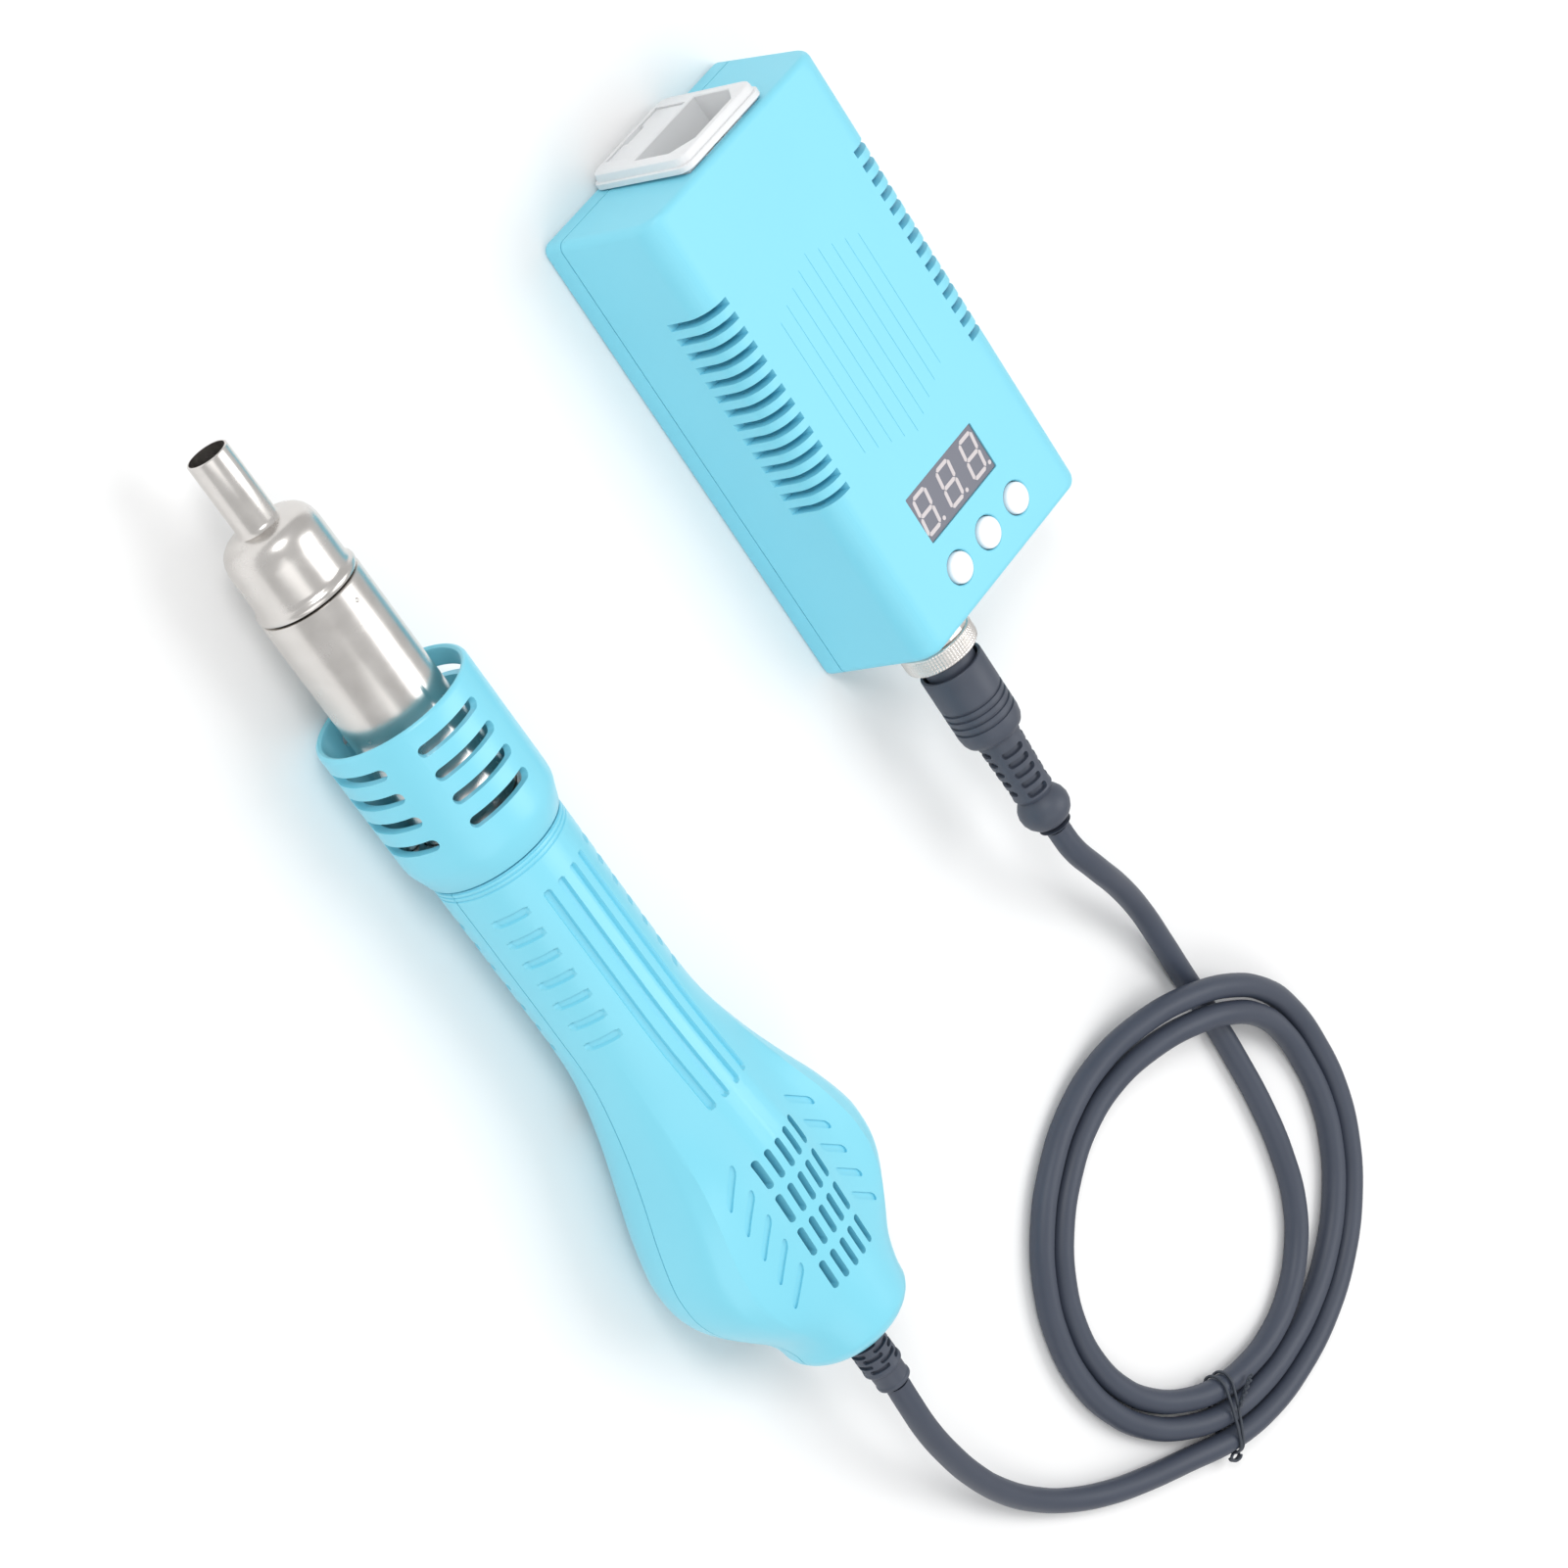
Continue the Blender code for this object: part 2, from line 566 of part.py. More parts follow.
def build_heater(parent):
    """What the barrel holds: a mica lining, a ceramic former with its coil, the end disc and the sensor."""
    mica = BARREL_R - SHEET - 0.5
    piece("mica_sleeve", tube(44.0, 94.5, mica, mica - 0.5, 28), MICA, parent)
    former = turned([(47.0, 1.6), (47.0, 7.4), (89.0, 7.4), (89.0, 1.6)], 20, closed=True)
    core = piece("heater_core", former, CERAMIC, parent)
    ducts = bmesh.new()
    for k in range(4):
        angle = math.radians(45 + 90 * k)
        y, z = 4.6 * math.cos(angle), 4.6 * math.sin(angle)
        add_rod(ducts, (40.0, y, z), (96.0, y, z), 1.5, 10)
    boolean(core, ducts, "DIFFERENCE", parent)
    build_coil(parent)
    disc = piece("heater_end_disc", tube(89.6, 92.4, mica - 0.9, 1.6, 20), CERAMIC, parent)
    ports = bmesh.new()
    for k in range(6):
        angle = math.radians(60 * k)
        y, z = 5.9 * math.cos(angle), 5.9 * math.sin(angle)
        add_rod(ports, (88.0, y, z), (94.0, y, z), 2.0, 8)
    boolean(disc, ports, "DIFFERENCE", parent)
    probe = turned([(36.0, 0.0), (36.4, 0.6), (104.0, 0.6), (104.0, 0.0)], 8)
    piece("thermocouple", probe, STEEL, parent)


def build_coil(parent):
    turns, per_turn, wire = 9, 10, 0.5
    radius = 7.4 + 2 * GAP + wire
    curve = bpy.data.curves.new("heating_coil", "CURVE")
    curve.dimensions = "3D"
    curve.bevel_depth = wire * MM
    curve.bevel_resolution = 0
    curve.use_fill_caps = True
    spline = curve.splines.new("POLY")
    spline.points.add(turns * per_turn)
    for k, point in enumerate(spline.points):
        angle = math.tau * k / per_turn
        x = 49.0 + 38.0 * k / (turns * per_turn)
        point.co = (x * MM, radius * MM * math.cos(angle), radius * MM * math.sin(angle), 1.0)
    coil = bpy.data.objects.new("heating_coil", curve)
    curve.materials.append(WIRE)
    bpy.context.scene.collection.objects.link(coil)
    coil.parent = parent


def build_fan(parent):
    """Blower in the bulb: scroll case, cover with the eye, motor, bearing, shaft and impeller."""
    low, high = FAN_CASE_Z
    upright = (0.0, math.radians(-90), 0.0)
    inner = FAN_CASE_R - FAN_CASE_WALL
    cup = [(low, SHAFT_R + 1.3), (low, FAN_CASE_R), (high - 1.4, FAN_CASE_R), (high - 1.4, inner)]
    cup += [(low + 1.5, inner), (low + 1.5, SHAFT_R + 1.3)]
    case = piece("fan_housing", turned(cup, 36, closed=True), DARK, parent, (FAN_X, 0, 0), upright)
    mouth = bmesh.new()
    add_box(mouth, (FAN_X - FAN_CASE_R - 5, -9.0, low + 3.0), (FAN_X - inner + 5.5, 9.0, high + 2))
    boolean(case, mouth, "DIFFERENCE", parent)
    cover = tube(high - 1.4 + GAP, high, FAN_CASE_R, 14.0, 36)
    piece("fan_cover", cover, DARK, parent, (FAN_X, 0, 0), upright)
    motor = tube(low + 1.5 + GAP, low + 8.6, MOTOR_R, SHAFT_R + 1.3, 24)
    piece("fan_motor", motor, COPPER, parent, (FAN_X, 0, 0), upright)
    bush = tube(low + 0.6, low + 7.0, SHAFT_R + 1.0, SHAFT_R + RUN / 2, 16)
    piece("fan_bearing", bush, SCREW, parent, (FAN_X, 0, 0), upright)
    shaft = piece("fan_shaft", rod(low + 0.2, low + 12.4, SHAFT_R, 14), SCREW, parent, (FAN_X, 0, 0), upright)
    build_impeller(shaft, parent)


def build_impeller(shaft, parent):
    """Cup-shaped hub over the motor, a floor ring, and straight blades leaning back."""
    low = FAN_CASE_Z[0]
    bore = SHAFT_R + GAP
    cup_r = MOTOR_R + 1.0
    base, roof, tip = low + 3.0, low + 10.6, low + 15.4
    hub = [(base, cup_r), (base, IMPELLER_R), (base + 0.9, IMPELLER_R), (base + 0.9, cup_r + 1.0)]
    hub += [(roof, cup_r + 1.0), (roof + 1.0, cup_r), (roof + 1.0, bore), (roof - 0.4, bore), (roof - 0.4, cup_r)]
    impeller = piece("fan_impeller", turned(hub, 36, closed=True), DARK, shaft)
    blades = bmesh.new()
    for k in range(IMPELLER_BLADES):
        spin = Matrix.Rotation(math.tau * k / IMPELLER_BLADES, 4, "X")
        lean = Matrix.Translation((0, 15.4, 0)) @ Matrix.Rotation(math.radians(28), 4, "X")
        place = spin @ lean @ Matrix.Translation(((base + 0.4 + tip) / 2, 0, 0))
        size = Matrix.Diagonal((tip - base - 0.4, 11.0, 0.9, 1.0))
        bmesh.ops.create_cube(blades, size=1.0, matrix=place @ size)
    boolean(impeller, blades, "UNION", shaft)


def build_handle_screws(parent):
    for number, (x, y) in enumerate(BOSSES, 1):
        seat = SCREW_HEAD_Z - 4.0 + GAP / 2
        profile = [(-seat - 1.5, 0.0), (-seat - 1.5, 1.6), (-seat - 1.1, SCREW_HEAD_R), (-seat, SCREW_HEAD_R)]
        profile += [(-seat, PILOT_R - 0.2), (5.6, PILOT_R - 0.2), (6.4, 0.0)]
        upright = (0.0, math.radians(-90), 0.0)
        piece(f"handle_screw_{number}", turned(profile, 12), SCREW, parent, (x, y, 0), upright)


def build_handle_board(parent):
    """Narrow circuit board in the grip, with the standby reed switch on it."""
    board = block((122.0, -7.5, -6.0), (166.0, 7.5, -6.0 + BOARD_T))
    piece("handle_board", board, BOARD, parent)
    glass = turned([(-8, 0.0), (-8, 0.35), (-5.6, 0.4), (-5.0, 1.2), (5.0, 1.2), (5.6, 0.4), (8, 0.35), (8, 0.0)], 10)
    piece("reed_switch", glass, GLASS, parent, (140.0, 3.0, -6.0 + BOARD_T + 1.2 + GAP))


def build_handle_relief(parent):
    """Rubber sleeve in the tail: a flange inside, ribs outside, then a smooth collar around the cord."""
    wall = TAIL_END - SHELL_WALL
    bore = CORD_R + 0.0
    end = TAIL_END + RELIEF_OUT
    out = [(wall - 7.2, 7.2), (wall - 4.2, 7.2), (wall - 4.2, RELIEF_R), (end - 5.4, RELIEF_R)]
    out += [(end - 5.0, RELIEF_R - 0.15), (end - 0.7, 4.35), (end, 3.9)]
    back = [(end, 0.0)]
    sleeve = [(wall - 7.2, 0.0)] + out + back
    return piece("handle_strain_relief", turned(sleeve, 24), RUBBER, parent), bore


def build_handset():
    rest = Vector((0.0, 0.0, GUARD_R + 0.06 - math.sin(PITCH) * GUARD_FRONT))
    handset = empty("handset", HANDSET_AT + rest, (0.0, -PITCH, YAW))
    top = handle_shell("handle_top_shell", True, handset)
    bottom = handle_shell("handle_bottom_shell", False, handset)
    add_handle_details(top, bottom, handset)
    build_nozzle(handset)
    build_barrel(handset)
    build_barrel_flange(handset)
    build_guard(handset)
    build_heater(handset)
    build_fan(handset)
    build_handle_screws(handset)
    build_handle_board(handset)
    build_handle_relief(handset)


# ---- controller box ------------------------------------------------------------------------------


def box_ring(z, inset=0.0):
    """The case's outline at height z: drafted sides, a big fillet on the long edges, a small one at the ends."""
    length, width, height = BOX
    share = z / height
    in_x, in_y = DRAFT_X * share, DRAFT_Y * share
    above = z - (height - LONG_FILLET)
    if above > 0:
        in_y += LONG_FILLET - math.sqrt(max(0.0, LONG_FILLET**2 - above**2))
    above = z - (height - END_FILLET)
    if above > 0:
        in_x += END_FILLET - math.sqrt(max(0.0, END_FILLET**2 - above**2))
    below = 1.5 - z
    if below > 0:
        round_in = 1.5 - math.sqrt(max(0.0, 1.5**2 - below**2))
        in_x += round_in
        in_y += round_in
    low = (in_x + inset, in_y + inset)
    high = (length - in_x - inset, width - in_y - inset)
    return rounded_rect(low, high, max(CORNER_R - inset, 0.5), z)


def fillet_heights():
    height = BOX[2]
    bend = [height - LONG_FILLET * (1 - math.sin(math.radians(22.5 * k))) for k in range(5)]
    return bend + [height - END_FILLET * (1 - math.sin(math.radians(a))) for a in (0, 45)]


def cavity(low, high):
    """Inside of the case, drafted like its outside, rounded under the long fillets."""
    length, width, height = BOX
    fillet = LONG_FILLET - BOX_WALL
    top = height - BOX_WALL
    rings = []
    for z in sorted({low, high} | {top - fillet * (1 - math.sin(math.radians(a))) for a in (0, 30, 60, 90) if high >= top}):
        share = z / height
        in_x = DRAFT_X * share + BOX_WALL
        in_y = DRAFT_Y * share + BOX_WALL
        above = z - (top - fillet)
        if above > 0 and high >= top:
            in_y += fillet - math.sqrt(max(0.0, fillet**2 - above**2))
        rings.append(rounded_rect((in_x, in_y), (length - in_x, width - in_y), 0.6, z))
    return loft(rings)


def inlet_centre():
    return BOX[1] / 2, BOX[2] / 2


def inlet_hole():
    y, z = inlet_centre()
    half_y, half_z = INLET_BODY[0] / 2 + GAP, INLET_BODY[1] / 2 + GAP
    return (-6.0, y - half_y, z - half_z), (BOX_WALL + 6.0, y + half_y, z + half_z)


def build_case(parent):
    length, width, height = BOX
    heights = sorted({SEAM_Z + GAP / 2, 12.0, 20.0, *fillet_heights()})
    front = piece("case_front_shell", loft([box_ring(z) for z in heights]), TEAL, parent)
    boolean(front, cavity(SEAM_Z - 3, height - BOX_WALL), "DIFFERENCE", parent)
    back_heights = (0.0, 0.35, 0.9, 1.5, SEAM_Z - GAP / 2)
    back = piece("case_back_shell", loft([box_ring(z) for z in back_heights]), TEAL, parent)
    boolean(back, cavity(BOX_WALL, SEAM_Z + 3), "DIFFERENCE", parent)

    posts_front, posts_back = bmesh.new(), bmesh.new()
    for x, y in CASE_SCREWS:
        add_rod(posts_front, (x, y, SEAM_Z + 5.6), (x, y, height - BOX_WALL + 0.8), 3.0, 12)
        add_rod(posts_back, (x, y, BOX_WALL - 0.9), (x, y, SEAM_Z + 5.6 - GAP), 3.2, 12)
    boolean(front, posts_front, "UNION", parent)
    boolean(back, posts_back, "UNION", parent)

    cuts = bmesh.new()
    add_box(cuts, *inlet_hole())
    for k in range(VENTS):
        x = VENT_FIRST + VENT_PITCH * k
        add_box(cuts, (x - VENT_W / 2, -4.0, VENT_Z), (x + VENT_W / 2, VENT_Y, height + 4))
        add_box(cuts, (x - VENT_W / 2, width - VENT_Y, VENT_Z), (x + VENT_W / 2, width + 4, height + 4))
    at_x, at_y = WINDOW_AT
    half_x, half_y = WINDOW[0] / 2, WINDOW[1] / 2
    add_box(cuts, (at_x - half_x, at_y - half_y, height - 5), (at_x + half_x, at_y + half_y, height + 4))
    for y in button_rows():
        add_rod(cuts, (BUTTON_X, y, height - 5), (BUTTON_X, y, height + 3), BUTTON_R + RUN, 24)
    y, z = LINK_AT
    add_rod(cuts, (length - 8, y, z), (length + 4, y, z), LINK_R + GAP, 24)
    for x, y in CASE_SCREWS:
        add_rod(cuts, (x, y, SEAM_Z + 3), (x, y, SEAM_Z + 16), PILOT_R, 8)
    boolean(front, cuts, "DIFFERENCE", parent)
    pocket = bmesh.new()
    room = 1.7
    add_box(pocket, (at_x - half_x - room, at_y - half_y - room, height - 6), (at_x + half_x + room, at_y + half_y + room, height - WINDOW_LIP))
    boolean(front, pocket, "DIFFERENCE", parent)

    back_cuts = bmesh.new()
    add_box(back_cuts, *inlet_hole())
    for x, y in CASE_SCREWS:
        profile = [(0.0, 0.0), (0.0, 2.7), (3.0, 2.7), (3.0, PILOT_R + 0.3), (14.0, PILOT_R + 0.3), (14.0, 0.0)]
        up = Matrix.Translation((x, y, -1.0)) @ Matrix.Rotation(math.radians(-90), 4, "Y")
        add_turned(back_cuts, profile, 12, matrix=up)
    boolean(back, back_cuts, "DIFFERENCE", parent)


CASE_SCREWS = ((22.5, 6.2), (22.5, BOX[1] - 6.2), (108.0, 6.2), (108.0, BOX[1] - 6.2))


def button_rows():
    return [BUTTON_Y + BUTTON_PITCH * k for k in (-1, 0, 1)]


def build_case_screws(parent):
    upright = (0.0, math.radians(-90), 0.0)
    for number, (x, y) in enumerate(CASE_SCREWS, 1):
        profile = [(0.3, 0.0), (0.3, 2.0), (0.7, 2.3), (2.0 - GAP / 2, 2.3), (2.0 - GAP / 2, PILOT_R - 0.2)]
        profile += [(SEAM_Z + 13.0, PILOT_R - 0.2), (SEAM_Z + 14.0, 0.0)]
        piece(f"case_screw_{number}", turned(profile, 12), SCREW, parent, (x, y, 0), upright)


def socket_outline(grow, x, centre_y, centre_z):
    """The mains inlet's mouth: a rectangle with two cut corners on the earth side."""
    half_y, half_z = SOCKET_MOUTH[0] / 2 + grow, SOCKET_MOUTH[1] / 2 + grow
    cut = SOCKET_CHAMFER
    outline = ((-half_y, -half_z), (half_y, -half_z), (half_y, half_z - cut), (half_y - cut, half_z), (cut - half_y, half_z), (-half_y, half_z - cut))
    return [Vector((x, centre_y + y, centre_z + z)) for y, z in outline]


def build_inlet(parent):
    """Three-pin mains inlet with a fuse drawer below its mouth."""
    y, z = inlet_centre()
    wide, tall, proud = INLET_FLANGE
    rings = []
    for x, inset, corner in ((-GAP, 0.0, 2.6), (-1.7, 0.0, 2.6), (-1.75, 0.6, 2.4), (-proud + 0.8, 0.75, 2.2), (-proud, 1.6, 2.0)):
        low = (y - wide / 2 + inset, z - tall / 2 + inset)
        high = (y + wide / 2 - inset, z + tall / 2 - inset)
        rings.append([Vector((x, p.x, p.y)) for p in rounded_rect(low, high, corner, 0.0, 2)])
    inlet = piece("inlet_body", loft(rings), WHITE, parent)
    body = bmesh.new()
    half_y, half_z = INLET_BODY[0] / 2, INLET_BODY[1] / 2
    add_box(body, (-1.2, y - half_y, z - half_z), (INLET_DEPTH, y + half_y, z + half_z))
    boolean(inlet, body, "UNION", parent)
    cuts = bmesh.new()
    mouth_z = z + SOCKET_RISE
    rings = [socket_outline(grow, x, y, mouth_z) for x, grow in ((-6.0, 0.0), (INLET_DEPTH - 3.0, -0.2))]
    add_loft(cuts, rings)
    drawer_z = drawer_centre()
    half_w, half_h = DRAWER[0] / 2 + RUN, DRAWER[1] / 2 + RUN
    add_box(cuts, (-6.0, y - half_w, drawer_z - half_h), (INLET_DEPTH - 2.0, y + half_w, drawer_z + half_h))
    boolean(inlet, cuts, "DIFFERENCE", parent)
    slots = bmesh.new()
    for dy, dz in PIN_PLACES:
        add_box(slots, (INLET_DEPTH - 8, y + dy - 1.0 - GAP, mouth_z + dz - 2.0 - GAP), (INLET_DEPTH + 2, y + dy + 1.0 + GAP, mouth_z + dz + 2.0 + GAP))
    boolean(inlet, slots, "DIFFERENCE", parent)
    for name, (dy, dz) in zip(("inlet_pin_live", "inlet_pin_neutral", "inlet_pin_earth"), PIN_PLACES):
        pin = block((1.0, y + dy - 1.0, mouth_z + dz - 2.0), (INLET_DEPTH + 7.0, y + dy + 1.0, mouth_z + dz + 2.0), 0.35)
        piece(name, pin, NICKEL, parent)
    build_fuse_drawer(parent, y, drawer_z)


PIN_PLACES = ((7.0, -1.6), (-7.0, -1.6), (0.0, 2.4))
FUSE_R = 2.5


def drawer_centre():
    return inlet_centre()[1] - INLET_BODY[1] / 2 + 1.2 + DRAWER[1] / 2


def build_fuse_drawer(parent, y, z):
    half_w, half_h = DRAWER[0] / 2, DRAWER[1] / 2
    drawer = piece("fuse_drawer", block((-INLET_FLANGE[2] + 0.25, y - half_w, z - half_h), (INLET_DEPTH - 4.0, y + half_w, z + half_h), 0.3), WHITE, parent)
    cuts = bmesh.new()
    low_x = 3.0
    add_box(cuts, (low_x, y - half_w - 2, z - half_h + 1.4), (INLET_DEPTH - 5.4, y + half_w - 1.4, z + half_h + 2))
    boolean(drawer, cuts, "DIFFERENCE", parent)
    fuse = turned([(-9.0, 0.0), (-9.0, FUSE_R), (-4.4, FUSE_R), (-4.3, FUSE_R - 0.2), (4.3, FUSE_R - 0.2), (4.4, FUSE_R), (7.6, FUSE_R), (7.6, 0.0)], 12)
    piece("fuse", fuse, NICKEL, parent, (low_x + 4.6, y, z - half_h + 1.4 + FUSE_R + GAP), (0, 0, math.radians(90)))


def build_display(parent):
    length, width, height = BOX
    board = block((88.0, 12.6, DISPLAY_BOARD_Z), (length - 8.1, width - 12.6, DISPLAY_BOARD_Z + BOARD_T))
    piece("display_board", board, BOARD, parent)
    top = DISPLAY_BOARD_Z + BOARD_T + GAP
    at_x, at_y = WINDOW_AT
    half_x, half_y = WINDOW[0] / 2 + 1.3, WINDOW[1] / 2 + 1.3
    module = block((at_x - half_x, at_y - half_y, top), (at_x + half_x, at_y + half_y, height - WINDOW_LIP - GAP), 0.3)
    piece("display_module", module, GLASS, parent)
    for number, y in enumerate(button_rows(), 1):
        build_button(number, y, top, parent)


def build_button(number, y, top, parent):
    """A cap held by its rim under the case wall, and the switch that its stem goes down into."""
    height = BOX[2]
    switch = piece(f"tact_switch_{number}", block((BUTTON_X - 3.0, y - 3.0, top), (BUTTON_X + 3.0, y + 3.0, top + 3.4)), DARK, parent)
    well = bmesh.new()
    add_rod(well, (BUTTON_X, y, top + 1.4), (BUTTON_X, y, top + 6), 2.1, 12)
    boolean(switch, well, "DIFFERENCE", parent)
    face = height + BUTTON_PROUD
    under = height - BOX_WALL - GAP
    profile = [(top + 1.4 + BUTTON_TRAVEL + GAP, 0.0), (top + 1.4 + BUTTON_TRAVEL + GAP, 1.6), (under - 0.8, 1.6)]
    profile += [(under - 0.8, BUTTON_R + 0.9), (under, BUTTON_R + 0.9), (under, BUTTON_R), (face - 0.7, BUTTON_R)]
    profile += [(face - 0.2, BUTTON_R - 0.3), (face, BUTTON_R - 0.8), (face + 0.05, 0.0)]
    upright = (0.0, math.radians(-90), 0.0)
    piece(f"button_{number}", turned(profile, 24), WHITE, parent, (BUTTON_X, y, 0), upright)


def build_electronics(parent):
    """Main board on the back shell, with the parts that a small mains supply needs."""
    length, width, _ = BOX
    floor = MAIN_BOARD_Z + BOARD_T + GAP
    board = piece("main_board", block((28.5, 10.5, MAIN_BOARD_Z), (length - 12.0, width - 10.5, MAIN_BOARD_Z + BOARD_T)), BOARD, parent)
    spacers = bmesh.new()
    for x in (34.0, length - 18.0):
        for y in (16.0, width - 16.0):
            add_rod(spacers, (x, y, BOX_WALL + GAP), (x, y, MAIN_BOARD_Z + 0.5), 2.0, 10)
    boolean(board, spacers, "UNION", parent)
    piece("transformer", block((50.0, 15.0, floor), (66.0, 33.0, floor + 15.0), 0.8), MICA, parent)
    upright = (0.0, math.radians(-90), 0.0)
    can = turned([(floor, 0.0), (floor, 7.0), (floor + 17.4, 7.0), (floor + 18.0, 6.3), (floor + 18.0, 0.0)], 20)
    piece("bulk_capacitor", can, DARK, parent, (40.0, 47.0, 0), upright)
    sink = piece("heat_sink", block((54.0, 42.0, floor), (76.0, 52.0, floor + 17.0)), ALUMINIUM, parent)
    gaps = bmesh.new()
    for k in range(6):
        add_box(gaps, (56.2 + 3.3 * k, 44.4, floor - 1), (57.7 + 3.3 * k, 54.0, floor + 19))
    boolean(sink, gaps, "DIFFERENCE", parent)
    piece("triac", block((60.0, 37.1, floor), (70.2, 41.7, floor + 15.0), 0.4), DARK, parent)


def build_link(parent):
    """Round screw connector: the panel socket with its nut, and the cord's plug with its coupling nut."""
    wall = BOX[0]
    y, z = LINK_AT
    at = (0.0, y, z)
    inner = LINK_R - 1.0
    shell = [(118.8, 0.0), (118.8, LINK_R), (wall + GAP, LINK_R), (wall + GAP, LINK_NUT_R - 0.2), (wall + 1.3, LINK_NUT_R - 0.2)]
    shell += [(wall + 1.3, LINK_R), (wall + 4.4, LINK_R), (wall + 4.4, inner), (121.4, inner), (121.4, 0.0)]
    socket = piece("panel_socket", turned(shell, 28), NICKEL, parent, at)
    sockets = bmesh.new()
    for pin_y, pin_z in pin_circle():
        add_rod(sockets, (116.0, pin_y, pin_z), (123.0, pin_y, pin_z), 0.9, 8)
    boolean(socket, sockets, "DIFFERENCE", parent, at)
    piece("panel_nut", tube(119.4, 123.2, PANEL_NUT_R, LINK_R + GAP, 24), NICKEL, parent, at)
    ring = [(wall + 1.3 + RUN, LINK_R + RUN), (wall + 1.3 + RUN, LINK_NUT_R - 0.4), (wall + 1.9 + RUN, LINK_NUT_R)]
    ring += [(wall + 6.4, LINK_NUT_R), (wall + 7.0, LINK_NUT_R - 0.5), (wall + 7.0, PLUG_SHELL_R + RUN)]
    ring += [(wall + 6.2, PLUG_SHELL_R + RUN), (wall + 6.2, LINK_R + RUN)]
    piece("coupling_nut", turned(ring, 36, closed=True), NICKEL, parent, at)
    collar = LINK_R - 0.2
    shell = [(122.2, PLUG_SHELL_R - 0.9), (122.2, PLUG_SHELL_R), (wall + 4.8, PLUG_SHELL_R), (wall + 4.8, collar)]
    shell += [(wall + 5.8, collar), (wall + 5.8, PLUG_SHELL_R), (150.0, PLUG_SHELL_R), (150.0, PLUG_SHELL_R - 0.9)]
    piece("plug_shell", turned(shell, 28, closed=True), DARK, parent, at)
    carrier = piece("plug_insert", rod(125.4, 138.0, PLUG_SHELL_R - 0.9 - GAP, 20), DARK, parent, at)
    pins = bmesh.new()
    for pin_y, pin_z in pin_circle():
        add_rod(pins, (119.4, pin_y, pin_z), (127.0, pin_y, pin_z), 0.5, 8)
    boolean(carrier, pins, "UNION", parent, at)
    build_plug_boot(parent, at)


PLUG_SHELL_R = 6.5


def pin_circle():
    for k in range(5):
        angle = math.radians(90 + 72 * k)
        yield 3.2 * math.cos(angle), 3.2 * math.sin(angle)


def build_plug_boot(parent, at):
    """Moulded boot: an open skirt, a narrower slotted relief, and a ball where the cord comes out."""
    out = [(136.8, PLUG_R - 0.25), (137.1, PLUG_R), (154.6, PLUG_R), (157.2, PLUG_R - 0.8), (158.2, 5.9), (159.0, 5.65)]
    out += [(175.0, 5.1), (176.4, 5.3), (178.6, 6.2), (181.6, 6.6), (184.6, 6.2), (186.8, 5.0), (PLUG_END, 3.9)]
    out += [(PLUG_END, 0.0)]
    back = [(150.5, 0.0), (150.5, PLUG_SHELL_R + GAP), (136.8, PLUG_SHELL_R + 0.8)]
    piece("plug_boot", turned(back + out, 28), RUBBER, parent, at)


# ---- cord ----------------------------------------------------------------------------------------


def build_cord(parent):
    curve = bpy.data.curves.new("cord", "CURVE")
    curve.dimensions = "3D"
    curve.bevel_depth = CORD_R * MM
    curve.bevel_resolution = 2
    curve.use_fill_caps = True
    spline = curve.splines.new("POLY")
    spline.points.add(len(CORD_ROUTE) - 1)
    for point, place in zip(spline.points, CORD_ROUTE):
        point.co = (*(Vector(place) * MM), 1.0)
    curve.materials.append(RUBBER)
    cord = bpy.data.objects.new("cord", curve)
    bpy.context.scene.collection.objects.link(cord)
    cord.parent = parent


def build_tie(parent):
    """Flat band round the three strands where the loops are tied."""
    inner = CORD_R + TIE_ROOM
    rings = [tie_outline(x, inner + TIE_BAND) for x in (-TIE_WIDTH / 2, TIE_WIDTH / 2)]
    tie = piece("cord_tie", loft(rings), RUBBER, parent, TIE_AT, (0.0, 0.0, TIE_TURN))
    rings = [tie_outline(x, inner) for x in (-TIE_WIDTH, TIE_WIDTH)]
    boolean(tie, loft(rings), "DIFFERENCE", parent, TIE_AT, (0.0, 0.0, TIE_TURN))


def tie_outline(x, radius, steps=5):
    """Outline of a strap pulled tight round the strands, which lie in a row: TIE_STRANDS has the outer two."""
    points = []
    count = len(TIE_STRANDS)
    for k in range(count):
        before, here, after = (Vector(TIE_STRANDS[(k + step) % count]) for step in (-1, 0, 1))
        arriving, leaving = here - before, after - here
        start = math.atan2(-arriving.x, arriving.y)
        sweep = (math.atan2(-leaving.x, leaving.y) - start) % math.tau
        for step in range(steps + 1):
            angle = start + sweep * step / steps
            points.append(Vector((x, here.x + radius * math.cos(angle), here.y + radius * math.sin(angle))))
    return points


def main():
    clear_scene()
    build_handset()
    controller = empty("controller", BOX_AT)
    build_case(controller)
    build_case_screws(controller)
    build_inlet(controller)
    build_display(controller)
    build_electronics(controller)
    build_link(controller)
    build_cord(controller)
    build_tie(controller)


main()
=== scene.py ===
"""Looks of the hot-air gun and its controller box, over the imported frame.

Shapes are made in millimetres, in the frame of the piece that they belong to: the handset lies along its own
X axis from the nozzle's tip, and the box is measured from its back corner at the inlet end.
"""

import json
import math

import bmesh
import bpy
from mathutils import Matrix, Vector


